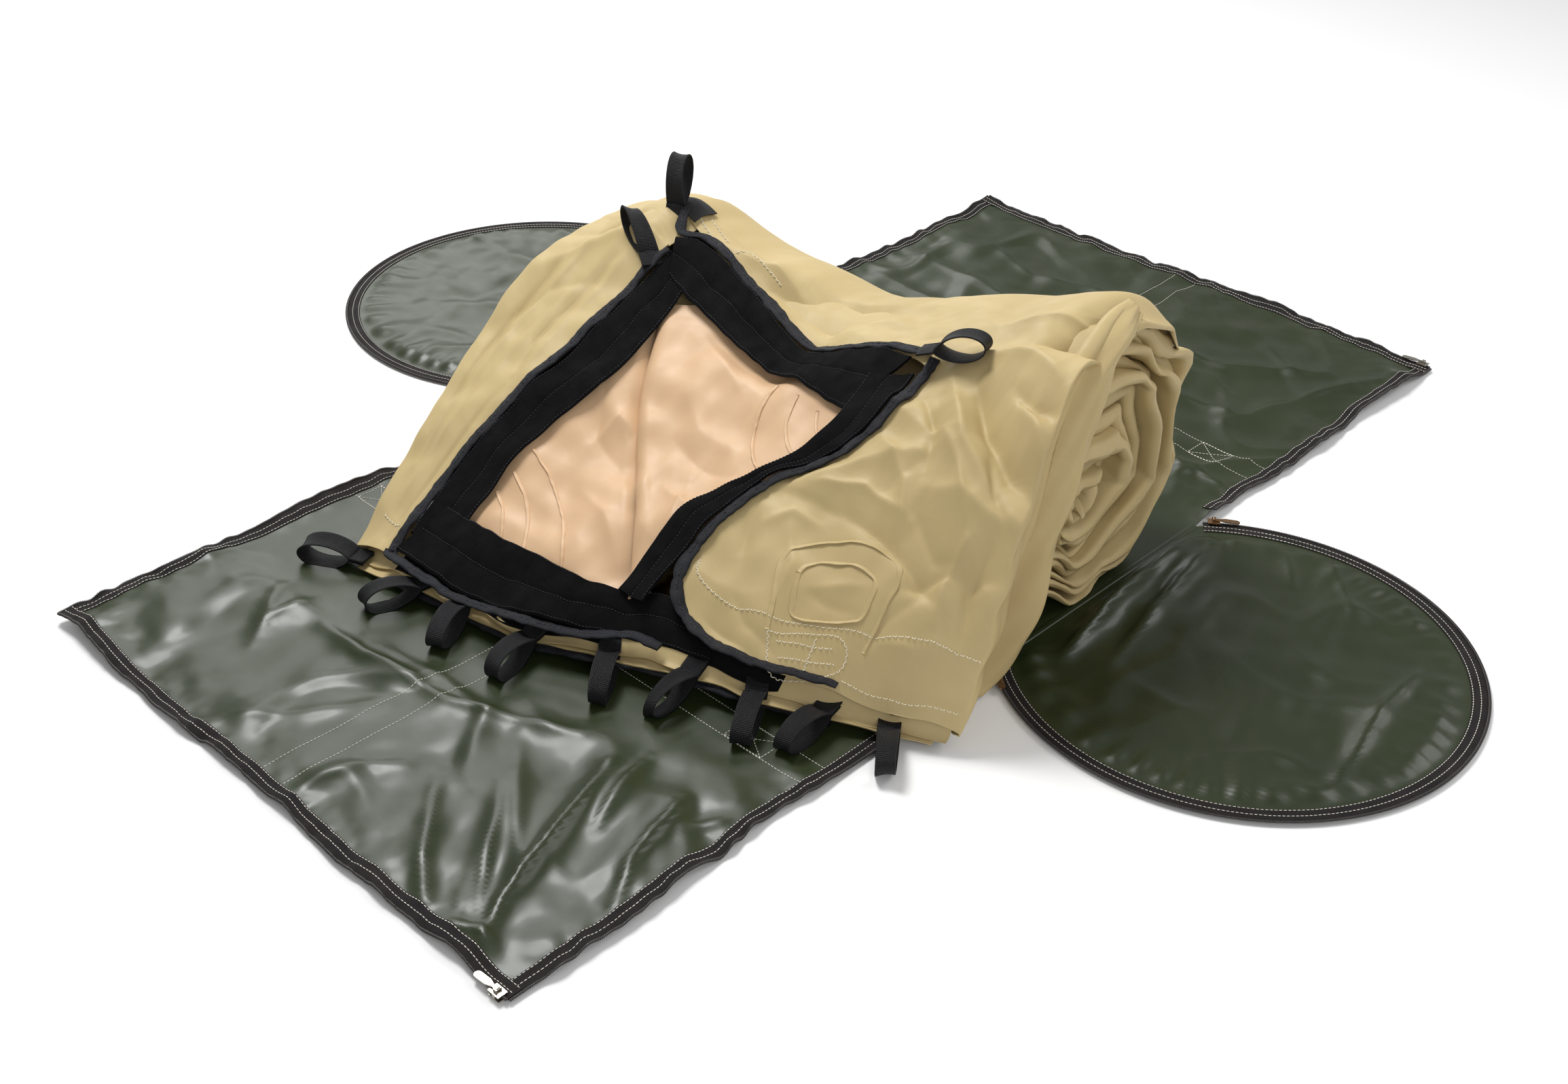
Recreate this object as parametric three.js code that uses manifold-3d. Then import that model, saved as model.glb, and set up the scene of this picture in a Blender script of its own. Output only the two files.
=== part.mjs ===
// A frameless soft stretcher, half rolled, lying on its opened carry bag.
// Millimetres, +Z up. The origin is on the ground under the middle of the bag's floor:
// X runs across the bag, along the stretcher's roll, and Y runs along the bag's long sides.
import * as THREE from "three";
import { mergeVertices } from "three/addons/utils/BufferGeometryUtils.js";
import Module from "manifold-3d";

const wasm = await Module();
wasm.setup();

// ---- Carry bag -------------------------------------------------------------------------
const BAG_WIDTH = 800; // length of the closed cylinder
const BAG_LENGTH = 1660; // its circumference
const PANEL_T = 1.8;
const STRAP_W = 40; // webbing sewn under the sheet
const STRAP_T = 1.8;
const SHEET_GAP = 0.3; // air between two pieces that are sewn together
const SHEET_INSET = 5; // the sheet stops this far inside the zip tape's outer edge
const FRONT_FOLD_Y = -576;
const REAR_FOLD_Y = 262;
const FRONT_CROSS_STRAP_Y = -422;
const REAR_CROSS_STRAP_Y = 408;
const RIGHT_FLAP_R = 270;
const RIGHT_FLAP_REACH = 182; // from the seam to the flap's centre
const RIGHT_FLAP_Y = 58;
const LEFT_FLAP_R = 274;
const LEFT_FLAP_REACH = 256;
const LEFT_FLAP_Y = 70;
const FLAP_SEAM_GAP = 0.6;

// ---- Zip: a woven tape with a coil on its outer edge -------------------------------------
const TAPE_W = 17;
const TAPE_T = 1;
const COIL_R = 1.6;
const SLIDER_LENGTH = 15;
const SLIDER_WIDTH = 11;
const SLIDER_PLATE = 1.2;
const SLIDER_CLEARANCE = 0.5; // between the coil and the plates
const PIN_R = 0.6;
const PIN_CLEARANCE = 0.3;
const EYE_WALL = 1.0;
const EAR_T = 1.2;
const PULL_LENGTH = 32;
const PULL_W = 8;
const PULL_T = 1.2;
const PULL_DROOP = 5; // degrees, so that the pull rests on the chain
const END_INSET = 12; // from a corner to the middle of the slider parked there
const RIM_SLIDER_OFFSET = 4; // degrees round the rim from the seam's end
const SEAM_CLEARANCE = 34; // the side zips stop this far from a flap's seam
const FOLD_CLEARANCE = 2.6; // the zip stands over the fold line, so its halves part there
const REAR_ZIP_START = 24; // behind the rear fold, clear of the flap's slider

// ---- Stretcher ----------------------------------------------------------------------------
const ROLL_RIGHT_X = 386;
const ROLL_LEFT_X = -335;
const ROLL_RIGHT_R = 183; // full end, where the turns stand open
const ROLL_WAIST_R = 130; // pressed flat under the spread end
const ROLL_WAIST_X = 60;
const ROLL_LEFT_R = 140;
const ROLL_FLATTEN = 1.12; // half width over half height where the roll is pressed
const ROLL_Y = 54; // the roll's axis at its right end
const ROLL_SKEW = 0.14; // how far the axis swings forwards for each mm to the left
const SHEET_T = 3; // coated fabric with its slack
const LAYER_GAP = 0.6;
const TAIL_CLEARANCE = 12; // air between the roll's top and the spread end
const PEAK_RISE = 42; // the lifted corner of the mouth
const PEAK_SPREAD = 70;
const BINDING_W = 11;
const BINDING_T = 2.4;
const BAND_T = 2.4; // hook and loop band
const PATCH_T = 1.2;
const UNDER_LAYER_T = 2.4;
const LOOP_STRAP_T = 2;
const LOOP_STRAP_W = 26;
const LOOP_LENGTH = 56;
const LOOP_HEIGHT = 27;

const HALF_W = BAG_WIDTH / 2;
const HALF_L = BAG_LENGTH / 2;
const SHEET_X = HALF_W - SHEET_INSET;
const SHEET_Y = HALF_L - SHEET_INSET;
const PANEL_Z = STRAP_T + SHEET_GAP;
const PANEL_TOP = PANEL_Z + PANEL_T;
const TAPE_Z = PANEL_TOP + SHEET_GAP;
const COIL_Z = TAPE_Z + TAPE_T / 2;
const COIL_OUT = COIL_R + 0.4; // the coil's centre beyond the sheet's edge
const REST_Z = PANEL_TOP + SHEET_GAP; // where the stretcher lies
const ZIP_TOP = COIL_Z + COIL_R;

// ---- Materials -----------------------------------------------------------------------------
const material = (color, roughness, metalness = 0) =>
  new THREE.MeshStandardMaterial({ color, roughness, metalness });
const greenSheet = () => material(0x3a4130, 0.35);
const blackWeb = () => material(0x1d1c1e, 0.85);
const zipTape = () => material(0x241f20, 0.8);
const tanSheet = () => material(0xc6b68a, 0.6);
const peachLining = () => material(0xe0bd97, 0.6);
const nickel = () => material(0xb8b4aa, 0.35, 0.9);
const bronze = () => material(0x8c6b45, 0.4, 0.9);

const stretcherBag = new THREE.Group();

function add(name, geometry, finish) {
  const mesh = new THREE.Mesh(geometry, finish);
  mesh.name = name;
  stretcherBag.add(mesh);
  return mesh;
}

// ---- Closed surfaces -----------------------------------------------------------------------
// Triangles as given, turned round if they enclose a negative volume.
function closedGeometry(points, triangles) {
  let volume = 0;
  for (const [a, b, c] of triangles) {
    volume += points[a].dot(points[b].clone().cross(points[c]));
  }
  const index = triangles.flatMap(([a, b, c]) => (volume < 0 ? [a, c, b] : [a, b, c]));
  const geometry = new THREE.BufferGeometry().setFromPoints(points);
  geometry.setIndex(index);
  geometry.computeVertexNormals();
  return geometry;
}

// A skin through closed rings of points, with a fan over each end ring. The fan's hub is the
// middle of the ring's points from number hubFrom on.
function loft(rings, hubFrom = 0) {
  const points = rings.flat();
  const count = rings[0].length;
  const triangles = [];
  for (let ring = 0; ring + 1 < rings.length; ring++) {
    for (let i = 0; i < count; i++) {
      const j = (i + 1) % count;
      const [a, b] = [ring * count + i, ring * count + j];
      triangles.push([a, b, b + count], [a, b + count, a + count]);
    }
  }
  for (const [start, turn] of [
    [0, true],
    [(rings.length - 1) * count, false],
  ]) {
    const centre = new THREE.Vector3();
    for (let i = hubFrom; i < count; i++) {
      centre.addScaledVector(points[start + i], 1 / (count - hubFrom));
    }
    points.push(centre);
    for (let i = 0; i < count; i++) {
      const [a, b] = [start + i, start + ((i + 1) % count)];
      triangles.push(turn ? [b, a, points.length - 1] : [a, b, points.length - 1]);
    }
  }
  return closedGeometry(points, triangles);
}

// A slab between a top and a bottom surface, each a function of u and v from 0 to 1.
function slab(top, bottom, nu, nv) {
  const points = [];
  for (const surface of [top, bottom]) {
    for (let j = 0; j <= nv; j++) {
      for (let i = 0; i <= nu; i++) {
        points.push(surface(i / nu, j / nv));
      }
    }
  }
  const row = nu + 1;
  const below = row * (nv + 1);
  const triangles = [];
  for (let j = 0; j < nv; j++) {
    for (let i = 0; i < nu; i++) {
      const a = j * row + i;
      triangles.push([a, a + 1, a + row + 1], [a, a + row + 1, a + row]);
      const b = a + below;
      triangles.push([b, b + row + 1, b + 1], [b, b + row, b + row + 1]);
    }
  }
  const wall = (a, b) => {
    triangles.push([b, a, a + below], [b, a + below, b + below]);
  };
  for (let i = 0; i < nu; i++) {
    wall(i, i + 1);
    wall(nv * row + i + 1, nv * row + i);
  }
  for (let j = 0; j < nv; j++) {
    wall((j + 1) * row, j * row);
    wall(j * row + nu, (j + 1) * row + nu);
  }
  return closedGeometry(points, triangles);
}

function solid(geometry) {
  const bare = geometry.index ? geometry.toNonIndexed() : geometry.clone();
  bare.deleteAttribute("normal");
  bare.deleteAttribute("uv");
  const merged = mergeVertices(bare, 1e-4);
  return new wasm.Manifold(
    new wasm.Mesh({
      numProp: 3,
      vertProperties: new Float32Array(merged.attributes.position.array),
      triVerts: new Uint32Array(merged.index.array),
    }),
  );
}

function geometryOf(body) {
  const { numProp, vertProperties, triVerts } = body.getMesh();
  const xyz = new Float32Array((vertProperties.length / numProp) * 3);
  for (let i = 0; i < xyz.length / 3; i++) {
    xyz.set(vertProperties.subarray(i * numProp, i * numProp + 3), i * 3);
  }
  const geometry = new THREE.BufferGeometry();
  geometry.setAttribute("position", new THREE.BufferAttribute(xyz, 3));
  geometry.setIndex(new THREE.BufferAttribute(triVerts, 1));
  geometry.computeVertexNormals();
  return geometry;
}

const joined = (...geometries) =>
  geometryOf(geometries.map(solid).reduce((sum, next) => sum.add(next)));

function block([x0, x1], [y0, y1], [z0, z1]) {
  const box = new THREE.BoxGeometry(x1 - x0, y1 - y0, z1 - z0);
  return box.translate((x0 + x1) / 2, (y0 + y1) / 2, (z0 + z1) / 2);
}

function cylinderAlongY(radius, halfLength, sides = 12) {
  return new THREE.CylinderGeometry(radius, radius, 2 * halfLength, sides);
}

// ---- Carry bag -------------------------------------------------------------------------------
function bagPanels() {
  const across = [-SHEET_X, SHEET_X];
  const thick = [PANEL_Z, PANEL_TOP];
  const half = SHEET_GAP / 2;
  const sections = {
    bag_front_wing: [-SHEET_Y, FRONT_FOLD_Y - half],
    bag_floor: [FRONT_FOLD_Y + half, REAR_FOLD_Y - half],
    bag_rear_wing: [REAR_FOLD_Y + half, SHEET_Y],
  };
  for (const [name, along] of Object.entries(sections)) {
    add(name, block(across, along, thick), greenSheet());
  }
}

// One webbing runs the whole length and two cross it; each piece of sheet carries its own share.
function bagStraps() {
  const thick = [0, STRAP_T];
  const half = SHEET_GAP / 2;
  const lengthwise = (y0, y1) => block([-STRAP_W / 2, STRAP_W / 2], [y0, y1], thick);
  const crosswise = (y) => block([-SHEET_X, SHEET_X], [y - STRAP_W / 2, y + STRAP_W / 2], thick);
  add("front_wing_strap", lengthwise(-SHEET_Y, FRONT_FOLD_Y - half), blackWeb());
  add(
    "floor_straps",
    joined(
      lengthwise(FRONT_FOLD_Y + half, REAR_FOLD_Y - half),
      crosswise(FRONT_CROSS_STRAP_Y),
    ),
    blackWeb(),
  );
  add(
    "rear_wing_straps",
    joined(lengthwise(REAR_FOLD_Y + half, SHEET_Y), crosswise(REAR_CROSS_STRAP_Y)),
    blackWeb(),
  );
}

const COIL_START = 2; // the section's first points are the tape's, the rest the coil's

// Section of a zip half: out is the distance beyond the sheet's edge, z the height.
function zipSection() {
  const section = [
    [-TAPE_W + COIL_OUT, TAPE_Z],
    [-TAPE_W + COIL_OUT, TAPE_Z + TAPE_T],
  ];
  const entry = Math.asin(TAPE_T / 2 / COIL_R);
  const steps = 7;
  for (let i = 0; i <= steps; i++) {
    const angle = Math.PI - entry - (i / steps) * (2 * Math.PI - 2 * entry);
    section.push([COIL_OUT + COIL_R * Math.cos(angle), COIL_Z + COIL_R * Math.sin(angle)]);
  }
  return section;
}

// A straight zip half along one edge: from and to are on the sheet's edge, outward points off it.
function straightZip(name, from, to, outward) {
  const rings = [from, to].map((end) =>
    zipSection().map(
      ([out, z]) => new THREE.Vector3(end[0] + outward[0] * out, end[1] + outward[1] * out, z),
    ),
  );
  add(name, loft(rings, COIL_START), zipTape());
}

function seamEnds(radius, reach, middle) {
  const half = Math.sqrt(radius * radius - reach * reach);
  return [middle - half, middle + half];
}

function bagZips() {
  const corner = TAPE_W + SHEET_GAP; // the end tapes run full width, the side tapes stop at them
  const ends = { front: -HALF_L, rear: HALF_L };
  for (const [end, y] of Object.entries(ends)) {
    const outward = [0, Math.sign(y)];
    straightZip(`${end}_zip`, [-HALF_W, y], [HALF_W, y], outward);
  }
  const seams = {
    right: [HALF_W, seamEnds(RIGHT_FLAP_R, RIGHT_FLAP_REACH, RIGHT_FLAP_Y)],
    left: [-HALF_W, seamEnds(LEFT_FLAP_R, LEFT_FLAP_REACH, LEFT_FLAP_Y)],
  };
  for (const [side, [x, [seamFront]]] of Object.entries(seams)) {
    const outward = [Math.sign(x), 0];
    const seamClear = seamFront - SEAM_CLEARANCE;
    straightZip(
      `front_wing_${side}_zip`,
      [x, -HALF_L + corner],
      [x, FRONT_FOLD_Y - FOLD_CLEARANCE],
      outward,
    );
    straightZip(`floor_${side}_zip`, [x, FRONT_FOLD_Y + FOLD_CLEARANCE], [x, seamClear], outward);
    straightZip(
      `rear_wing_${side}_zip`,
      [x, REAR_FOLD_Y + REAR_ZIP_START],
      [x, HALF_L - corner],
      outward,
    );
  }
}

// A round end flap: a disc cut by its seam, with a zip half round the rest of its rim.
function endFlap(side, sign, radius, reach, middle) {
  const centreX = sign * (SHEET_X + FLAP_SEAM_GAP + reach);
  const seamAngle = Math.PI - Math.acos(reach / radius);
  const facing = sign > 0 ? 0 : Math.PI;
  const steps = 40;
  const sheetR = radius - SHEET_INSET;
  const sheetAngle = Math.PI - Math.acos(reach / sheetR);
  const ringAt = (z) =>
    Array.from({ length: steps + 1 }, (_, i) => {
      const angle = facing + sheetAngle * ((2 * i) / steps - 1);
      const [c, s] = [Math.cos(angle), Math.sin(angle)];
      return new THREE.Vector3(centreX + sheetR * c, middle + sheetR * s, z);
    });
  add(`${side}_end_flap`, loft([ringAt(PANEL_Z), ringAt(PANEL_TOP)]), greenSheet());
  const cut = THREE.MathUtils.degToRad(RIM_SLIDER_OFFSET / 2); // the tape stops short of the seam
  const rings = [];
  for (let i = 0; i <= steps; i++) {
    const angle = facing + (seamAngle - cut) * ((2 * i) / steps - 1);
    rings.push(
      zipSection().map(
        ([out, z]) =>
          new THREE.Vector3(
            centreX + (radius + out) * Math.cos(angle),
            middle + (radius + out) * Math.sin(angle),
            z,
          ),
      ),
    );
  }
  add(`${side}_flap_zip`, loft(rings, COIL_START), zipTape());
  return { centreX, seamAngle };
}

// ---- Zip sliders: local X along the chain, local Y off the sheet, Z up from the coil's middle --
const CHANNEL = COIL_R + SLIDER_CLEARANCE;
const PLATE_TOP = CHANNEL + SLIDER_PLATE;
const EYE_R = PIN_R + PIN_CLEARANCE + EYE_WALL;
const PIN_Z = PLATE_TOP + EYE_R + PIN_CLEARANCE;
const EYE_HALF = 1.8;

function sliderBody() {
  const along = [-SLIDER_LENGTH / 2, SLIDER_LENGTH / 2];
  const across = [-SLIDER_WIDTH / 2, SLIDER_WIDTH / 2];
  const postIn = COIL_R + 2 * SLIDER_CLEARANCE;
  const pieces = [
    block(along, across, [CHANNEL, PLATE_TOP]),
    block(along, across, [-PLATE_TOP, -CHANNEL]),
    block([-2, 2], [postIn, SLIDER_WIDTH / 2 - 0.3], [-CHANNEL - 0.4, CHANNEL + 0.4]),
    cylinderAlongY(PIN_R, EYE_HALF + PIN_CLEARANCE + EAR_T / 2).translate(0, 0, PIN_Z),
  ];
  for (const side of [-1, 1]) {
    const inner = side * (EYE_HALF + PIN_CLEARANCE);
    const outer = inner + side * EAR_T;
    const ear = [Math.min(inner, outer), Math.max(inner, outer)];
    pieces.push(block([-2.4, 2.4], ear, [PLATE_TOP - 0.4, PIN_Z + 1.6]));
  }
  return joined(...pieces);
}

function pullBody() {
  const eye = solid(cylinderAlongY(EYE_R, EYE_HALF, 16));
  const hole = solid(cylinderAlongY(PIN_R + PIN_CLEARANCE, EYE_HALF + 1, 16));
  const neck = solid(block([EYE_R - 0.4, 9], [-EYE_HALF, EYE_HALF], [-PULL_T / 2, PULL_T / 2]));
  const tab = new THREE.Shape();
  tab.moveTo(7, -EYE_HALF);
  tab.lineTo(14, -PULL_W / 2);
  tab.lineTo(PULL_LENGTH - PULL_W / 2, -PULL_W / 2);
  tab.absarc(PULL_LENGTH - PULL_W / 2, 0, PULL_W / 2, -Math.PI / 2, Math.PI / 2, false);
  tab.lineTo(14, PULL_W / 2);
  tab.lineTo(7, EYE_HALF);
  const blade = new THREE.ExtrudeGeometry(tab, {
    depth: PULL_T,
    bevelEnabled: false,
    curveSegments: 6,
  });
  blade.translate(0, 0, -PULL_T / 2);
  return geometryOf(eye.subtract(hole).add(neck).add(solid(blade)));
}

// Parks a slider and its pull on a chain. turn is the chain's direction, flip swaps the sheet's side.
function addSlider(name, x, y, turn, flip, finish) {
  const place = new THREE.Matrix4().makeRotationZ(turn).setPosition(x, y, COIL_Z);
  const body = sliderBody();
  if (flip) {
    body.rotateZ(Math.PI);
  }
  add(`${name}_slider`, body.applyMatrix4(place), finish());
  const pull = pullBody()
    .rotateY(THREE.MathUtils.degToRad(PULL_DROOP))
    .translate(0, 0, PIN_Z);
  add(`${name}_pull`, pull.applyMatrix4(place), finish());
}

function bagSliders(rightFlap) {
  const chain = COIL_OUT;
  addSlider("front_zip", HALF_W - END_INSET, -HALF_L - chain, Math.PI, false, nickel);
  addSlider("rear_zip", HALF_W - END_INSET, HALF_L + chain, Math.PI, true, nickel);
  const offset = THREE.MathUtils.degToRad(RIM_SLIDER_OFFSET);
  const rim = RIGHT_FLAP_R + chain;
  for (const [name, sign] of [
    ["flap_front", -1],
    ["flap_rear", 1],
  ]) {
    const angle = sign * (rightFlap.seamAngle - offset);
    const x = rightFlap.centreX + rim * Math.cos(angle);
    const y = RIGHT_FLAP_Y + rim * Math.sin(angle);
    addSlider(name, x, y, angle - sign * (Math.PI / 2), sign < 0, bronze);
  }
}

// ---- Stretcher: the roll --------------------------------------------------------------------
const mix = THREE.MathUtils.lerp;

function piecewise(knots, x) {
  const last = knots.length - 1;
  if (x <= knots[0][0]) {
    return knots[0][1];
  }
  for (let i = 0; i < last; i++) {
    const [[x0, y0], [x1, y1]] = [knots[i], knots[i + 1]];
    if (x <= x1) {
      return mix(y0, y1, (x - x0) / (x1 - x0));
    }
  }
  return knots[last][1];
}

const ROLL_RADII = [
  [ROLL_LEFT_X, ROLL_LEFT_R - 4],
  [-200, ROLL_LEFT_R],
  [ROLL_WAIST_X, ROLL_WAIST_R],
  [190, mix(ROLL_WAIST_R, ROLL_RIGHT_R, 0.35)],
  [ROLL_RIGHT_X, ROLL_RIGHT_R],
];
const rollHeight = (x) => piecewise(ROLL_RADII, x); // half the height
const rollWidth = (x) => Math.min(ROLL_RIGHT_R, ROLL_FLATTEN * rollHeight(x)); // half the width
const rollY = (x) => ROLL_Y - ROLL_SKEW * (ROLL_RIGHT_X - x);
const rollTop = (x) => REST_Z + 2 * rollHeight(x);

function rollRings(grow) {
  const sides = 28;
  const stations = [ROLL_LEFT_X, -270, -200, -100, -20, 60, 125, 190, 255, 320, ROLL_RIGHT_X];
  return stations.map((x, index) => {
    const end = index === 0 ? -grow : index === stations.length - 1 ? grow : 0;
    return Array.from({ length: sides }, (_, i) => {
      const angle = (2 * Math.PI * i) / sides;
      return new THREE.Vector3(
        x + end,
        rollY(x) + (rollWidth(x) + grow) * Math.cos(angle),
        REST_Z + rollHeight(x) + (rollHeight(x) + grow) * Math.sin(angle),
      );
    });
  });
}

// ---- Stretcher: the spread end, a sloping drape from the roll's top to the hem ---------------
// The hem's line in plan with its height, left to right.
const HEM = [
  [-290, -520, 12],
  [-200, -517, 34],
  [11, -489, 37],
  [150, -430, 46],
  [292, -373, 40],
  [380, -328, 32],
  [478, -276, 22],
];
const hemY = (x) => piecewise(HEM.map(([a, y]) => [a, y]), x);
const hemZ = (x) => piecewise(HEM.map(([a, , z]) => [a, z]), x);
// How strongly the drape hugs the roll before it runs out to the hem: 1 is a straight slope.
const DRAPE_BEND = [
  [-300, 1.35],
  [0, 1.35],
  [200, 1.5],
  [430, 2],
];
const MOUTH_PEAK = [-225, -50];

function drape(x, y) {
  const foot = hemY(x);
  const share = THREE.MathUtils.clamp((y - foot) / (rollY(x) - foot), 0, 1);
  const rise = 1 - (1 - share) ** piecewise(DRAPE_BEND, x);
  const away = Math.hypot(x - MOUTH_PEAK[0], y - MOUTH_PEAK[1]);
  const peak = PEAK_RISE * Math.exp(-((away / PEAK_SPREAD) ** 2));
  return mix(hemZ(x), rollTop(x) + TAIL_CLEARANCE, rise) + peak;
}

// Every layer of the spread end is the same faceted drape, moved up or down, so layers never meet.
const GRID = { left: -372, right: 500, front: -548, rear: 72, cell: 41 };

function drapedLayer(lift, thickness, floor = null) {
  const nu = Math.round((GRID.right - GRID.left) / GRID.cell);
  const nv = Math.round((GRID.rear - GRID.front) / GRID.cell);
  const at = (height) => (u, v) => {
    const [x, y] = [mix(GRID.left, GRID.right, u), mix(GRID.front, GRID.rear, v)];
    return new THREE.Vector3(x, y, height === null ? floor : drape(x, y) + height);
  };
  return solid(slab(at(lift + thickness), at(floor === null ? lift : null), nu, nv));
}

const line = (...points) => new THREE.SplineCurve(points.map(([x, y]) => new THREE.Vector2(x, y)));
const LINE_STEPS = 11;
const walk = (curve) => curve.getPoints(LINE_STEPS);

// The upright prism over an outline in plan.
function prism(outline) {
  const shape = new THREE.Shape(outline);
  return solid(new THREE.ExtrudeGeometry(shape, { depth: 900, bevelEnabled: false }));
}

function cutSheet(name, outline, lift, thickness, finish) {
  const sheet = drapedLayer(lift, thickness).intersect(prism(outline));
  add(name, geometryOf(sheet), finish);
}

// Both sides of a ribbon of even width centred on a line, as one outline.
function ribbon(curve, width) {
  const side = (sign) =>
    Array.from({ length: LINE_STEPS + 1 }, (_, i) => {
      const point = curve.getPoint(i / LINE_STEPS);
      const along = curve.getTangent(i / LINE_STEPS);
      return new THREE.Vector2(
        point.x - (along.y * sign * width) / 2,
        point.y + (along.x * sign * width) / 2,
      );
    });
  return [...side(-1), ...side(1).reverse()];
}

// The mouth's edges in plan: each runs beside its hook and loop band's inner edge.
const LEFT_EDGE = line([-205, -505], [-210, -408], [-203, -320], [-190, -215], [-180, -122]);
const LEFT_BAND_IN = line([-142, -440], [-146, -390], [-138, -310], [-118, -245], [-122, -170]);
const TOP_EDGE = line([-176, -74], [-138, -56], [-46, -66], [48, -87], [130, -87], [212, -76]);
const TOP_BAND_IN = line([-112, -128], [-77, -128], [27, -140], [103, -143], [150, -142]);
const RIGHT_EDGE = line([228, -100], [232, -140], [212, -190], [163, -241], [135, -305], [128, -346]);
const RIGHT_BAND_IN = line([174, -160], [166, -185], [134, -246], [104, -290], [88, -319], [86, -346]);
const FLAP_EDGE = line([130, -362], [146, -386], [186, -392], [236, -384], [338, -343]);
const FRONT_EDGE = line([-194, -514], [-90, -506], [12, -487], [82, -455], [118, -436]);
const FRONT_BAND_IN = line([-135, -451], [-81, -442], [-14, -431], [45, -423], [78, -418]);

function liningPanels() {
  const left = [
    ...walk(line([-166, -480], [-80, -472], [20, -450], [88, -416])),
    ...walk(line([86, -400], [28, -339], [-25, -290], [-76, -235], [-134, -152])),
    ...walk(line([-148, -152], [-166, -260], [-178, -380], [-170, -470])),
  ];
  cutSheet("left_lining", left, -SHEET_T, SHEET_T, peachLining());
  const right = [
    ...walk(line([94, -402], [100, -400], [106, -396])),
    ...walk(line([112, -330], [150, -244], [198, -180], [192, -122])),
    ...walk(line([180, -112], [60, -114], [-60, -100], [-124, -140])),
    ...walk(line([-72, -229], [-21, -284], [34, -333], [88, -392])),
  ];
  cutSheet("right_lining", right, -SHEET_T, SHEET_T, peachLining());
}

function tanPanels() {
  const side = [
    ...walk(line([-271, -514], [-250, -515], [-230, -515], [-212, -514])),
    ...walk(line([-216, -408], [-209, -320], [-196, -215], [-186, -118], [-200, -4])),
    ...walk(line([-318, -4], [-348, -150], [-346, -270], [-310, -388], [-278, -500])),
  ];
  cutSheet("left_side_panel", side, -SHEET_T, SHEET_T, tanSheet());
  const top = [
    ...walk(line([-176, -66], [-138, -48], [-46, -58], [48, -79], [130, -79], [222, -66])),
    ...walk(line([222, 26], [60, 2], [-60, -12], [-190, -30])),
  ];
  cutSheet("top_panel", top, -SHEET_T, SHEET_T, tanSheet());
  const flap = [
    ...walk(line([150, -386], [186, -395], [236, -387], [338, -346], [400, -318], [462, -284])),
    ...walk(line([456, -219], [440, -178], [428, -140], [416, -60], [404, 46])),
    ...walk(line([340, 42], [290, 36], [228, 28])),
    ...walk(line([232, -60], [240, -130], [218, -186], [171, -238], [143, -305], [136, -352])),
  ];
  cutSheet("front_flap", flap, -SHEET_T, SHEET_T, tanSheet());
}

// Hook and loop bands lie on the lining; the bindings wrap the mouth's edges above them.
function mouthEdges() {
  const bands = {
    left: [LEFT_EDGE, LEFT_BAND_IN],
    top: [TOP_EDGE, TOP_BAND_IN],
    right: [RIGHT_EDGE, RIGHT_BAND_IN],
    front: [FRONT_EDGE, FRONT_BAND_IN],
  };
  const trimmed = { left: [0.16, 0.95], top: [0, 1], right: [0.05, 1], front: [0, 1] };
  for (const [name, [outer, inner]] of Object.entries(bands)) {
    const [from, to] = trimmed[name];
    const part = (curve) =>
      Array.from({ length: LINE_STEPS + 1 }, (_, i) =>
        curve.getPoint(mix(from, to, i / LINE_STEPS)),
      );
    const outline = [...part(outer), ...part(inner).reverse()];
    cutSheet(`${name}_hook_loop_band`, outline, LAYER_GAP, BAND_T, blackWeb());
  }
  const bindingLift = 2 * LAYER_GAP + BAND_T;
  const bindings = { left: LEFT_EDGE, top: TOP_EDGE, right: RIGHT_EDGE, front: FRONT_EDGE };
  for (const [name, edge] of Object.entries(bindings)) {
    cutSheet(`${name}_binding`, ribbon(edge, BINDING_W), bindingLift, BINDING_T, blackWeb());
  }
  cutSheet("flap_binding", ribbon(FLAP_EDGE, BINDING_W), LAYER_GAP, BINDING_T, blackWeb());
}

// A stiff arch-shaped patch on the flap, and ring-shaped patches in two corners of the lining.
function patches() {
  const arch = [
    ...walk(line([266, -330], [294, -319], [326, -304], [356, -290])),
    ...walk(line([366, -272], [352, -250], [318, -238], [280, -244], [250, -270], [252, -312])),
  ];
  cutSheet("handle_patch", arch, LAYER_GAP, PATCH_T, tanSheet());
  const sector = (cx, cy, inner, outer, from, to) => {
    const arc = (radius) =>
      Array.from({ length: LINE_STEPS + 1 }, (_, i) => {
        const angle = THREE.MathUtils.degToRad(mix(from, to, i / LINE_STEPS));
        const [c, s] = [Math.cos(angle), Math.sin(angle)];
        return new THREE.Vector2(cx + radius * c, cy + radius * s);
      });
    return [...arc(inner), ...arc(outer).reverse()];
  };
  const rings = {
    left_corner_ring: [-84, -424, 30, 62, 150, 8],
    right_corner_ring: [128, -188, 24, 50, 124, 226],
  };
  for (const [name, shape] of Object.entries(rings)) {
    cutSheet(name, sector(...shape), LAYER_GAP, PATCH_T, peachLining());
  }
}

const HEM_STEPS = 20;

// Outline of a strip along the hem, from `ahead` in front of it to `behind` at its back.
function hemStrip(ahead, behind, from, to) {
  const edge = (shift) =>
    Array.from({ length: HEM_STEPS + 1 }, (_, i) => {
      const x = mix(from, to, i / HEM_STEPS);
      return new THREE.Vector2(x, hemY(x) + shift);
    });
  return [...edge(-ahead), ...edge(behind).reverse()];
}

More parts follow.
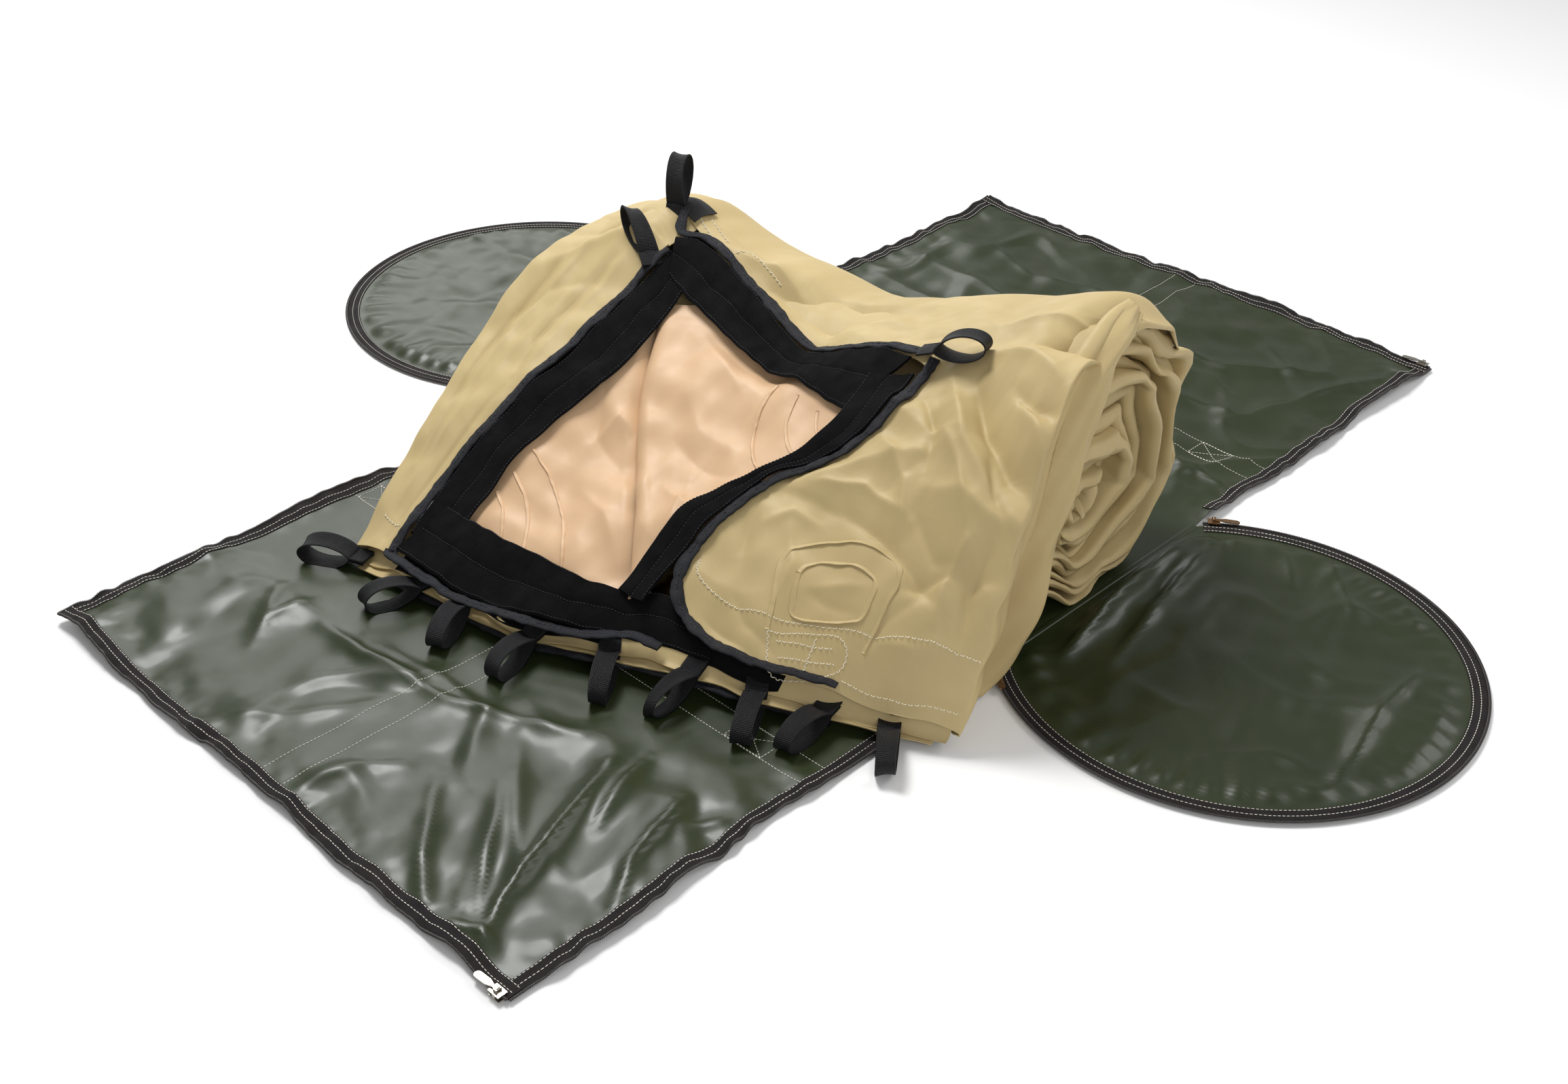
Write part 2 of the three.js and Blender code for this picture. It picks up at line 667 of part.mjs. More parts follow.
const STACK_X = [-262, 372];
const STACK_INSET = 6; // the stack's front stands this far behind the hem
const UNDER_X = [-240, 440];
const UNDER_DEPTH = 60;
const UNDER_AHEAD = [4, 7]; // how far each under layer shows in front of the hem
const UNDER_COUNT = UNDER_AHEAD.length;
const UNDER_STEP = UNDER_LAYER_T + LAYER_GAP;
const POCKET_MARGIN = { ahead: 20, behind: UNDER_DEPTH + 2, left: 20, right: 100 };

// The folded layers that fill the space between the roll, the drape and the bag's floor.
function foldedStack() {
  const [from, to] = STACK_X;
  const rim = Array.from({ length: 9 }, (_, i) => {
    const x = mix(to, from, i / 8);
    return new THREE.Vector2(x, rollY(x));
  });
  const front = Array.from({ length: HEM_STEPS + 1 }, (_, i) => {
    const x = mix(from, to, i / HEM_STEPS);
    return new THREE.Vector2(x, hemY(x) + STACK_INSET);
  });
  const depth = UNDER_COUNT * UNDER_STEP + 3 * LAYER_GAP;
  const { ahead, behind, left, right } = POCKET_MARGIN;
  const pocket = drapedLayer(LAYER_GAP - SHEET_T - depth, depth).intersect(
    prism(hemStrip(ahead, behind, from - left, to + right)),
  );
  const stack = drapedLayer(0, -SHEET_T - LAYER_GAP, REST_Z)
    .intersect(prism([...front, ...rim]))
    .subtract(solid(loft(rollRings(LAYER_GAP))))
    .subtract(pocket);
  const largest = stack.decompose().sort((a, b) => b.volume() - a.volume())[0];
  add("folded_stack", geometryOf(largest), tanSheet());
}

function underLayers() {
  for (let i = 0; i < UNDER_COUNT; i++) {
    const lift = -SHEET_T - (i + 1) * UNDER_STEP;
    const outline = hemStrip(UNDER_AHEAD[i], UNDER_DEPTH, ...UNDER_X);
    cutSheet(`under_layer_${i + 1}`, outline, lift, UNDER_LAYER_T, tanSheet());
  }
}

// ---- Webbing loops: a strap sewn back on itself, local X outwards, the hole along local Y -----
function loopGeometry(length, height, strapWidth) {
  const outline = new THREE.Shape();
  outline.absellipse(length / 2, height / 2, length / 2, height / 2, 0, 2 * Math.PI);
  const hole = new THREE.Path();
  const inner = [length / 2 - LOOP_STRAP_T, height / 2 - LOOP_STRAP_T];
  hole.absellipse(length / 2, height / 2, inner[0], inner[1], 0, 2 * Math.PI, true);
  outline.holes.push(hole);
  const ring = new THREE.ExtrudeGeometry(outline, {
    depth: strapWidth,
    bevelEnabled: false,
    curveSegments: 10,
  });
  return ring.rotateX(Math.PI / 2).translate(0, strapWidth / 2, 0);
}

const HEM_LOOPS_X = [-150, -82, 18, 108, 196, 268, 334, 398];
const HEM_LOOP_GAP = 0.5; // between a loop's root and the edge of the lowest layer
const FLOOR_GAP = 0.4; // between a loop and what it rests on

// Lays a loop down from its root's middle at (x, y, z), along heading, tipped up by pitch.
function placeLoop(name, [x, y, z], heading, pitch) {
  const ring = loopGeometry(LOOP_LENGTH, LOOP_HEIGHT, LOOP_STRAP_W);
  ring.translate(0, 0, -LOOP_HEIGHT / 2).rotateY(-pitch).rotateZ(heading).translate(x, y, z);
  add(name, ring, blackWeb());
}

// How far an oval ring whose root is `height` over the floor tips down before it touches it.
function tipDown(height) {
  const [long, short] = [LOOP_LENGTH / 2, LOOP_HEIGHT / 2];
  const reach = height * long - Math.hypot(height * Math.sqrt(long ** 2 - short ** 2), short ** 2);
  return Math.asin(Math.max(0, reach / short ** 2));
}

// A hem loop's root stands against the layers' front edge and its far end sinks to the bag's floor.
function hemLoops() {
  HEM_LOOPS_X.forEach((x, index) => {
    const overZip = x + LOOP_STRAP_W > HALF_W - TAPE_W;
    const floor = (overZip ? ZIP_TOP : PANEL_TOP) + FLOOR_GAP;
    const slope = Math.atan2(hemY(x + 10) - hemY(x - 10), 20);
    const ahead = UNDER_AHEAD[UNDER_COUNT - 1] * Math.cos(slope) + HEM_LOOP_GAP;
    const root = [
      x + ahead * Math.sin(slope),
      hemY(x) - ahead * Math.cos(slope),
      Math.max(floor + LOOP_HEIGHT / 2, hemZ(x) - SHEET_T - UNDER_COUNT * UNDER_STEP + 1),
    ];
    placeLoop(`hem_loop_${index + 1}`, root, slope - Math.PI / 2, -tipDown(root[2] - floor));
  });
}

// The mouth's four corners carry a loop each: its root in plan, its height over the drape,
// its heading in plan and its pitch in degrees.
const CORNER_LOOPS = {
  front_corner_loop: [-259, -528, -1.4, -160, 0],
  peak_loop: [-205, -52, 1, 110, 62],
  upper_left_loop: [-206, -124, 15.6, 160, 45],
  side_corner_loop: [240, -84, 21.9, 20, 20],
};

function cornerLoops() {
  for (const [name, [x, y, lift, heading, pitch]] of Object.entries(CORNER_LOOPS)) {
    const radians = [heading, pitch].map(THREE.MathUtils.degToRad);
    placeLoop(name, [x, y, drape(x, y) + lift], ...radians);
  }
}

bagPanels();
bagStraps();
bagZips();
const rightFlap = endFlap("right", 1, RIGHT_FLAP_R, RIGHT_FLAP_REACH, RIGHT_FLAP_Y);
endFlap("left", -1, LEFT_FLAP_R, LEFT_FLAP_REACH, LEFT_FLAP_Y);
bagSliders(rightFlap);
add("roll", loft(rollRings(0)), tanSheet());
foldedStack();
underLayers();
liningPanels();
tanPanels();
mouthEdges();
patches();
hemLoops();
cornerLoops();

export default stretcherBag;
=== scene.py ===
# %% [markdown]
# # A soft stretcher, half rolled, on its opened carry bag
# The bag lies open and flat: one long sheet of glossy coated cloth with a round flap sewn to
# each long side and a zip round every edge. The stretcher is a thick roll of sand coloured cloth
# whose free end has been spread towards us, so that its square mouth shows. We load the packed
# CAD model first. It fixes every size and place, and each soft solid of it gets a cloth piece.

# %% Load the fixed frame
import math
import bpy
import numpy as np
from mathutils import Matrix, Vector


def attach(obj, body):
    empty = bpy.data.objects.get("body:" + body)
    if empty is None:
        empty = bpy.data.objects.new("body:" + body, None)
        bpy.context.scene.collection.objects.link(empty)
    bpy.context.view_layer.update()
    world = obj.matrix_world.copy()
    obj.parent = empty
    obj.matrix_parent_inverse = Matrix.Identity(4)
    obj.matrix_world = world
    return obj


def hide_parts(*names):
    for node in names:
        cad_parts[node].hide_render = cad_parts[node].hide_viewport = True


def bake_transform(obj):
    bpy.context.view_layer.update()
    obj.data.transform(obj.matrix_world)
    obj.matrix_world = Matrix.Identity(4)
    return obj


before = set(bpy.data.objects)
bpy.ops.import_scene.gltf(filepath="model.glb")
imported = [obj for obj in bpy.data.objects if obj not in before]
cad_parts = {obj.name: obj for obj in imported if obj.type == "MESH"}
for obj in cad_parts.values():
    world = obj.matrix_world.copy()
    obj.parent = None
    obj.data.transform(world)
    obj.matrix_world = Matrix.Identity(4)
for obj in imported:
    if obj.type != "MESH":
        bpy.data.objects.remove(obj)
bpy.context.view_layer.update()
MM = 0.001

# %% [markdown]
# ## Floor, light and camera
# A studio sweep is a plain pale floor in even light. A modelled sweep or a flat plane would both
# do; the plane is enough, because the pale world hides its far edge.

# %% Floor and world
def plain_finish(name, colour, roughness):
    finish = bpy.data.materials.new(name)
    finish.use_nodes = True
    shader = finish.node_tree.nodes["Principled BSDF"]
    shader.inputs["Base Color"].default_value = (*colour, 1)
    shader.inputs["Roughness"].default_value = roughness
    return finish


bpy.ops.mesh.primitive_plane_add(size=30, location=(0, 0, -0.0005))
floor = bpy.context.active_object
floor.name = "studio_floor"
floor.data.materials.append(plain_finish("pale_floor", (0.86, 0.86, 0.86), 0.9))
world = bpy.data.worlds.new("soft_room")
bpy.context.scene.world = world
world.use_nodes = True
world.node_tree.nodes["Background"].inputs["Color"].default_value = (1, 1, 1, 1)
world.node_tree.nodes["Background"].inputs["Strength"].default_value = 0.36
bpy.context.scene.view_settings.view_transform = "Standard"
print("floor and world ready")

# %% [markdown]
# The key lamp hangs high on the left, and is small enough to show the folds. A wide lamp far out
# on the left lays long sheens on the coated sheet, one at the back right lifts the rims, and one
# at the front right opens the roll's end. The world fills the shadows.

# %% Lamps
LAMPS = {  # place, point it faces, width, power
    "key_lamp": ((-1.2, 0.1, 2.8), (0, -0.1, 0.1), 1.0, 84),
    "back_lamp": ((1.6, 2.0, 2.2), (0.1, 0, 0.1), 1.3, 24),
    "strip_lamp": ((-3.3, 1.9, 2.2), (-0.2, -0.2, 0), 2.4, 48),
    "front_lamp": ((2.5, -1.5, 1.5), (0.2, 0, 0.1), 1.6, 22),
}


def aim(thing, target):
    away = np.array(thing.location) - np.array(target)
    thing.rotation_euler = Vector(away).to_track_quat("Z", "Y").to_euler()


for name, (place, target, width, power) in LAMPS.items():
    light = bpy.data.lights.new(name, "AREA")
    light.size = width
    light.energy = power
    lamp = bpy.data.objects.new(name, light)
    bpy.context.scene.collection.objects.link(lamp)
    lamp.location = place
    aim(lamp, target)
print("lamps", list(LAMPS))

# %% [markdown]
# The camera stands at the bag's front right and looks down. Its place and its three directions
# are given outright, since a tracking constraint would round them.

# %% Camera
CAMERA_PLACE = (1.37341, -1.50412, 1.27100)
CAMERA_RIGHT = (0.71710766, 0.69685074, 0.01247563)
CAMERA_UP = (-0.39481133, 0.391407, 0.83121873)
CAMERA_BACK = (0.57435234, -0.60099884, 0.55580553)
CAMERA_LENS = 43.29
camera = bpy.data.objects.new("camera", bpy.data.cameras.new("camera"))
bpy.context.scene.collection.objects.link(camera)
camera.data.lens = CAMERA_LENS
camera.data.sensor_width = 36
turn = np.array([CAMERA_RIGHT, CAMERA_UP, CAMERA_BACK]).T
camera.matrix_world = Matrix(
    [[*turn[i], CAMERA_PLACE[i]] for i in range(3)] + [[0, 0, 0, 1]]
)
bpy.context.scene.camera = camera
print("camera at", CAMERA_PLACE, "lens", CAMERA_LENS)

# %% [markdown]
# ## Finishes
# Every cloth here is a woven base with something on it. The weave, the small unevenness and the
# rubbed places are made from each piece's own flat pattern, laid out in metres, so the threads
# keep their real size however the cloth is folded.

# %% A cloth finish
def noise_of(tree, source, scale, detail, roughness=0.5):
    noise = tree.nodes.new("ShaderNodeTexNoise")
    noise.inputs["Scale"].default_value = scale
    noise.inputs["Detail"].default_value = detail
    noise.inputs["Roughness"].default_value = roughness
    tree.links.new(source, noise.inputs["Vector"])
    return noise.outputs["Fac"]


def ramp_of(tree, value, low, high, from_value=0.3, to_value=0.7):
    ramp = tree.nodes.new("ShaderNodeMapRange")
    ramp.inputs["From Min"].default_value = from_value
    ramp.inputs["From Max"].default_value = to_value
    ramp.inputs["To Min"].default_value = low
    ramp.inputs["To Max"].default_value = high
    tree.links.new(value, ramp.inputs["Value"])
    return ramp.outputs["Result"]


def blend_colours(tree, share, one, other):
    mixer = tree.nodes.new("ShaderNodeMix")
    mixer.data_type = "RGBA"
    tree.links.new(share, mixer.inputs["Factor"])
    for socket, colour in (("A", one), ("B", other)):
        spot = [s for s in mixer.inputs if s.name == socket and s.type == "RGBA"][0]
        if hasattr(colour, "is_output"):
            tree.links.new(colour, spot)
        else:
            spot.default_value = (*colour, 1)
    return [s for s in mixer.outputs if s.type == "RGBA"][0]


def bump_of(tree, height, strength, distance, below=None):
    bump = tree.nodes.new("ShaderNodeBump")
    bump.inputs["Strength"].default_value = strength
    bump.inputs["Distance"].default_value = distance
    tree.links.new(height, bump.inputs["Height"])
    if below is not None:
        tree.links.new(below, bump.inputs["Normal"])
    return bump.outputs["Normal"]


def thread_wave(tree, source, pitch, direction):
    wave = tree.nodes.new("ShaderNodeTexWave")
    wave.wave_type = "BANDS"
    wave.bands_direction = direction
    wave.inputs["Scale"].default_value = 1 / pitch / 3.14159
    wave.inputs["Distortion"].default_value = 0.6
    wave.inputs["Detail"].default_value = 1
    tree.links.new(source, wave.inputs["Vector"])
    return wave.outputs["Fac"]


def cloth_finish(name, colour, shade, roughness, pitch, weave, softness, gloss=0, fuzz=0, mirror=0.5):
    """colour and shade are the lighter and darker tones; pitch is the thread spacing in metres."""
    finish = bpy.data.materials.new(name)
    finish.use_nodes = True
    tree = finish.node_tree
    shader = tree.nodes["Principled BSDF"]
    place = tree.nodes.new("ShaderNodeTexCoord").outputs["UV"]
    large = noise_of(tree, place, 7, 3)
    middle = noise_of(tree, place, 45, 4)
    fine = noise_of(tree, place, 900, 2)
    tone = blend_colours(tree, ramp_of(tree, large, 0, 0.75), colour, shade)
    tone = blend_colours(tree, ramp_of(tree, middle, 0, 0.3), tone, shade)
    tree.links.new(tone, shader.inputs["Base Color"])
    worn = ramp_of(tree, middle, roughness * 0.88, min(1, roughness * 1.16))
    tree.links.new(worn, shader.inputs["Roughness"])
    warp = thread_wave(tree, place, pitch, "X")
    weft = thread_wave(tree, place, pitch, "Y")
    add = tree.nodes.new("ShaderNodeMath")
    add.operation = "ADD"
    tree.links.new(warp, add.inputs[0])
    tree.links.new(weft, add.inputs[1])
    normal = bump_of(tree, middle, softness, 0.004)
    normal = bump_of(tree, fine, 0.12, 0.0004, normal)
    normal = bump_of(tree, add.outputs[0], weave, pitch * 0.4, normal)
    tree.links.new(normal, shader.inputs["Normal"])
    shader.inputs["Specular IOR Level"].default_value = mirror
    shader.inputs["Coat Weight"].default_value = gloss
    shader.inputs["Coat Roughness"].default_value = 0.16
    shader.inputs["Sheen Weight"].default_value = fuzz
    shader.inputs["Sheen Roughness"].default_value = 0.4
    return finish


green_sheet = cloth_finish(
    "green_coated_sheet", (0.024, 0.034, 0.012), (0.014, 0.022, 0.006), 0.34, 0.0011, 0.10, 0.06,
    gloss=0.10, mirror=0.36,
)
sand_cloth = cloth_finish(
    "sand_coated_cloth", (0.52, 0.405, 0.200), (0.43, 0.325, 0.150), 0.56, 0.0007, 0.10, 0.12, mirror=0.35
)
peach_cloth = cloth_finish(
    "peach_lining_cloth", (0.64, 0.43, 0.255), (0.56, 0.36, 0.205), 0.5, 0.0007, 0.08, 0.08, mirror=0.35
)
loop_pile = cloth_finish(
    "black_loop_pile", (0.0050, 0.0050, 0.0055), (0.0015, 0.0015, 0.002), 0.9, 0.0012, 0.7, 0.5, mirror=0.12
)
binding_tape = cloth_finish(
    "black_binding_tape", (0.011, 0.012, 0.017), (0.004, 0.004, 0.006), 0.62, 0.0012, 0.6, 0.4, mirror=0.3
)
webbing = cloth_finish(
    "black_webbing", (0.008, 0.008, 0.010), (0.003, 0.003, 0.004), 0.5, 0.0018, 0.8, 0.2, mirror=0.3
)
zip_cloth = cloth_finish(
    "brown_black_zip_tape", (0.014, 0.010, 0.010), (0.006, 0.005, 0.005), 0.72, 0.0009, 0.6, 0.15,
    mirror=0.25,
)
print("cloth finishes made")

# %% [markdown]
# Thread, zip coil and metal are small and hard, so they get their own short recipes. The metal is
# plated zinc: bright on the raised parts, duller where fingers have rubbed it.

# %% Thread, coil and metal finishes
def hard_finish(name, colour, shade, roughness, metal, scale=400):
    finish = bpy.data.materials.new(name)
    finish.use_nodes = True
    tree = finish.node_tree
    shader = tree.nodes["Principled BSDF"]
    place = tree.nodes.new("ShaderNodeTexCoord").outputs["Object"]
    spots = noise_of(tree, place, scale, 3)
    tone = blend_colours(tree, ramp_of(tree, spots, 0, 1), colour, shade)
    tree.links.new(tone, shader.inputs["Base Color"])
    tree.links.new(ramp_of(tree, spots, roughness, min(1, roughness * 1.5)), shader.inputs["Roughness"])
    tree.links.new(bump_of(tree, spots, 0.15, 0.0003), shader.inputs["Normal"])
    shader.inputs["Metallic"].default_value = metal
    return finish


white_thread = hard_finish("white_thread", (0.86, 0.84, 0.76), (0.62, 0.60, 0.52), 0.7, 0)
sand_thread = hard_finish("cream_thread", (0.80, 0.74, 0.58), (0.66, 0.60, 0.44), 0.7, 0)
dark_thread = hard_finish("dark_thread", (0.055, 0.055, 0.065), (0.022, 0.022, 0.028), 0.7, 0)
zip_coil = hard_finish("dark_zip_coil", (0.030, 0.024, 0.022), (0.014, 0.011, 0.010), 0.35, 0)
nickel_plate = hard_finish("nickel_plate", (0.62, 0.59, 0.53), (0.40, 0.36, 0.30), 0.26, 1)
bronze_plate = hard_finish("bronze_plate", (0.42, 0.27, 0.15), (0.20, 0.11, 0.06), 0.3, 1)
print("hard finishes made")

# %% [markdown]
# ## Meshes from arrays
# A sheet of cloth is a grid of points with a front and a back. We work out the front as arrays,
# push a copy back by the cloth's thickness, and close the rim. That gives one closed body whose
# flat pattern is the grid itself.

# %% Build a piece
def new_piece(name, points, faces, finish, pattern=None, sharp=None):
    mesh = bpy.data.meshes.new(name)
    corners = faces.shape[1]
    mesh.vertices.add(len(points))
    mesh.vertices.foreach_set("co", np.asarray(points, np.float32).ravel())
    mesh.loops.add(faces.size)
    mesh.loops.foreach_set("vertex_index", faces.astype(np.int32).ravel())
    mesh.polygons.add(len(faces))
    mesh.polygons.foreach_set("loop_start", np.arange(0, faces.size, corners, dtype=np.int32))
    mesh.polygons.foreach_set("use_smooth", np.ones(len(faces), bool))
    mesh.update(calc_edges=True)
    if pattern is not None:
        layer = mesh.uv_layers.new(name="flat")
        layer.data.foreach_set("uv", np.asarray(pattern, np.float32)[faces.ravel()].ravel())
    if sharp is not None:
        ends = np.zeros(len(mesh.edges) * 2, np.int32)
        mesh.edges.foreach_get("vertices", ends)
        ends = ends.reshape(-1, 2)
        rim = sharp[ends[:, 0]] & (sharp[ends[:, 0]] == sharp[ends[:, 1]])
        mark = mesh.attributes.new("sharp_edge", "BOOLEAN", "EDGE")
        mark.data.foreach_set("value", rim.astype(bool))
    mesh.materials.append(finish)
    piece = bpy.data.objects.new(name, mesh)
    bpy.context.scene.collection.objects.link(piece)
    return piece


def grid_normals(front):
    across = np.gradient(front, axis=1)
    along = np.gradient(front, axis=0)
    normal = np.cross(across, along)
    length = np.linalg.norm(normal, axis=2, keepdims=True)
    return normal / np.maximum(length, 1e-12)


def sheet_piece(name, front, thickness, finish, up=True, back=None):
    """front is a grid (rows, columns, 3); the back lies behind it by the thickness."""
    rows, columns = front.shape[:2]
    normal = grid_normals(front)
    if (normal[..., 2].mean() < 0) == up:
        front = front[:, ::-1]
        normal = -normal[:, ::-1]
        back = None if back is None else back[:, ::-1]
    if back is None:
        back = front - normal * thickness
    count = rows * columns
    points = np.concatenate([front.reshape(-1, 3), back.reshape(-1, 3)])
    index = np.arange(count).reshape(rows, columns)
    a, b, c, d = index[:-1, :-1], index[:-1, 1:], index[1:, 1:], index[1:, :-1]
    top = np.stack([a, b, c, d], -1).reshape(-1, 4)
    bottom = top[:, ::-1] + count
    rim = np.concatenate([index[0], index[1:, -1], index[-1, -2::-1], index[-2:0:-1, 0]])
    after = np.roll(rim, -1)
    wall = np.stack([after, rim, rim + count, after + count], -1)
    run_v = np.concatenate([[0], np.cumsum(np.linalg.norm(np.diff(front, axis=0), axis=2).mean(1))])
    run_u = np.concatenate([[0], np.cumsum(np.linalg.norm(np.diff(front, axis=1), axis=2).mean(0))])
    flat_u, flat_v = np.meshgrid(run_u, run_v)
    pattern = np.stack([flat_u.ravel(), flat_v.ravel()], -1)
    side = np.zeros(2 * count, np.int8)
    side[rim] = 1
    side[rim + count] = 2
    return new_piece(
        name, points, np.concatenate([top, bottom, wall]), finish, np.tile(pattern, (2, 1)), side
    )


def grid_area(front):
    across = np.diff(front, axis=1)[:-1]
    along = np.diff(front, axis=0)[:, :-1]
    return float(np.linalg.norm(np.cross(across, along), axis=2).sum())


# %% [markdown]
# ## Uneven cloth
# Cloth on a floor is never flat. Two helpers describe that: long soft ripples, made from a few
# plane waves with seeded directions, and folds, which are lines along which the cloth is raised
# or sunk.

# %% Ripples and folds
def run_along(line):
    """How far each point lies along a line of points, from its first one."""
    return np.concatenate([[0], np.cumsum(np.linalg.norm(np.diff(line, axis=0), axis=1))])


def ripples(seed, count, longest, shortest):
    rng = np.random.default_rng(seed)
    lengths = np.geomspace(longest, shortest, count)
    angles = rng.uniform(0, 2 * np.pi, count)
    phases = rng.uniform(0, 2 * np.pi, count)
    weights = lengths / np.sqrt((lengths**2).sum() / 2)

    def field(a, b):
        total = 0
        for length, angle, phase, weight in zip(lengths, angles, phases, weights):
            way = np.cos(angle) * a + np.sin(angle) * b
            total = total + weight * np.sin(2 * np.pi * way / length + phase)
        return total

    return field


def ease(t):
    t = np.clip(t, 0, 1)
    return t * t * (3 - 2 * t)


def from_line(x, y, points):
    """Distance from a line through points, and how far along it the nearest place is, 0 to 1."""
    best = np.full(np.shape(x), np.inf)
    where = np.zeros(np.shape(x))
    count = len(points) - 1
    for i in range(count):
        (x0, y0), (x1, y1) = points[i], points[i + 1]
        run = (x1 - x0) ** 2 + (y1 - y0) ** 2
        t = np.clip(((x - x0) * (x1 - x0) + (y - y0) * (y1 - y0)) / run, 0, 1)
        d = np.hypot(x - x0 - t * (x1 - x0), y - y0 - t * (y1 - y0))
        closer = d < best
        best = np.where(closer, d, best)
        where = np.where(closer, (i + t) / count, where)
    return best, where


def fold_field(folds):
    """folds are (points in mm, height in mm, width in mm); a crisp fold has a narrow width."""

    def field(x, y):
        total = np.zeros(np.shape(x))
        for points, height, width in folds:
            line = [(px * MM, py * MM) for px, py in points]
            reach, where = from_line(x, y, line)
            w = width * MM
            profile = np.exp(-(np.hypot(reach, 0.14 * w) - 0.14 * w) / w * 1.5)
            total += height * MM * profile * np.sin(np.pi * np.clip(where, 0.04, 0.96)) ** 0.5
        return total

    return field


def smooth_curve(points, count):
    """An evenly spaced curve through points given in mm."""
    p = np.array(points, float) * MM
    p = np.vstack([2 * p[0] - p[1], p, 2 * p[-1] - p[-2]])
    dense = []
    for i in range(1, len(p) - 2):
        t = np.linspace(0, 1, 24, endpoint=False)[:, None]
        a, b, c, d = p[i - 1], p[i], p[i + 1], p[i + 2]
        dense.append(
            0.5
            * (
                2 * b
                + (c - a) * t
                + (2 * a - 5 * b + 4 * c - d) * t**2
                + (3 * b - a - 3 * c + d) * t**3
            )
        )
    dense = np.vstack([*dense, p[-2:-1]])
    run = run_along(dense)
    even = np.linspace(0, run[-1], count)
    return np.stack([np.interp(even, run, dense[:, k]) for k in range(p.shape[1])], -1)


# %% [markdown]
# Sewing threads, zip teeth and the links of a coil are all small grains in a row, longer than
# they are wide. One helper makes a whole row as a single mesh.

# %% Rows of grains
def grain_rows(name, centres, along, up, size, finish):
    """size is (length, width, height) in metres."""
    centres, along, up = (np.asarray(v, float).reshape(-1, 3) for v in (centres, along, up))
    along = along / np.linalg.norm(along, axis=1, keepdims=True)
    side = np.cross(up, along)
    side /= np.maximum(np.linalg.norm(side, axis=1, keepdims=True), 1e-9)
    rise = np.cross(along, side)
    length, width, height = size
    shape = [(-0.5, 0, 0), (0.5, 0, 0)]
    for t in (-0.28, 0.28):
        shape += [(t, 0.5, 0), (t, 0, 0.5), (t, -0.5, 0), (t, 0, -0.5)]
    points = sum(
        (np.array(shape)[None, :, k, None] * scale * axis[:, None, :])
        for k, (scale, axis) in enumerate(((length, along), (width, side), (height, rise)))
    ) + centres[:, None, :]
    quads = [(2 + i, 2 + (i + 1) % 4, 6 + (i + 1) % 4, 6 + i) for i in range(4)]
    caps = [(0, 2 + (i + 1) % 4, 2 + i) for i in range(4)] + [(1, 6 + i, 6 + (i + 1) % 4) for i in range(4)]
    triangles = caps + [t for a, b, c, d in quads for t in ((a, b, c), (a, c, d))]
    start = 10 * np.arange(len(centres))[:, None, None]
    faces = (np.array(triangles)[None] + start).reshape(-1, 3)
    return new_piece(name, points.reshape(-1, 3), faces, finish)


def walk_line(line, pitch, margin=0.0):
    """Places every pitch metres along a fine line of 3D points, with the direction there."""
    run = run_along(line)
    spots = np.arange(margin + pitch / 2, run[-1] - margin, pitch)
    here = np.stack([np.interp(spots, run, line[:, k]) for k in range(3)], -1)
    ahead = np.stack([np.interp(spots + pitch / 4, run, line[:, k]) for k in range(3)], -1)
    behind = np.stack([np.interp(spots - pitch / 4, run, line[:, k]) for k in range(3)], -1)
    return here, ahead - behind


def merged(name, pieces):
    """Joins finished meshes into one piece."""
    with bpy.context.temp_override(
        active_object=pieces[0], selected_editable_objects=pieces, object=pieces[0]
    ):
        bpy.ops.object.join()
    pieces[0].name = name
    return pieces[0]


print("mesh helpers ready")

# %% [markdown]
# ## The stretcher's resting shape
# The roll is pressed flat towards its left end and stands open at its right end. The spread end
# slopes from the top of the roll down to its hem. These curves carry the same driving sizes as
# the CAD, in metres.

# %% Curves of the roll and the drape
BAG_HALF_WIDTH = 0.400
BAG_HALF_LENGTH = 0.830
REST_Z = 0.0042
ROLL_SIZES = MM * np.array([(-335, 136), (-200, 140), (60, 130), (190, 148.55), (386, 183)])
HEM = MM * np.array(
    [
        (-290, -520, 12), (-200, -517, 34), (11, -489, 37), (150, -430, 46), (292, -373, 40),
        (380, -328, 32), (478, -276, 22),
    ]
)
BEND = np.array([(-0.300, 1.35), (0.0, 1.35), (0.200, 1.5), (0.430, 2.0)])
PEAK = (-0.225, -0.050, 0.042, 0.070)  # x, y, rise, spread


def roll_height(x):
    return np.interp(x, ROLL_SIZES[:, 0], ROLL_SIZES[:, 1])


def roll_width(x):
    return np.minimum(0.183, 1.12 * roll_height(x))


def roll_y(x):
    return 0.054 - 0.14 * (0.386 - x)


def hem_y(x):
    return np.interp(x, HEM[:, 0], HEM[:, 1])


def drape(x, y):
    foot = hem_y(x)
    share = np.clip((y - foot) / (roll_y(x) - foot), 0, 1)
    rise = 1 - (1 - share) ** np.interp(x, BEND[:, 0], BEND[:, 1])
    away = np.hypot(x - PEAK[0], y - PEAK[1])
    bump = PEAK[2] * np.exp(-((away / PEAK[3]) ** 2))
    low = np.interp(x, HEM[:, 0], HEM[:, 2])
    top = REST_Z + 2 * roll_height(x) + 0.012
    return low + (top - low) * rise + bump


print("height of the drape over the middle", round(float(drape(0, -0.2)), 3))

# %% [markdown]
# ## The bag's sheet
# It is cut as a rectangle and lies on the floor over its three webbings. It is flat where the
# stretcher rests on it and puckers just in front of it; elsewhere it ripples, and its edges lift
# a little because the zip tape pulls them. One function lays the flat pattern out, so that the
# sheet, the tapes, the coil and every stitch share the same ripples.

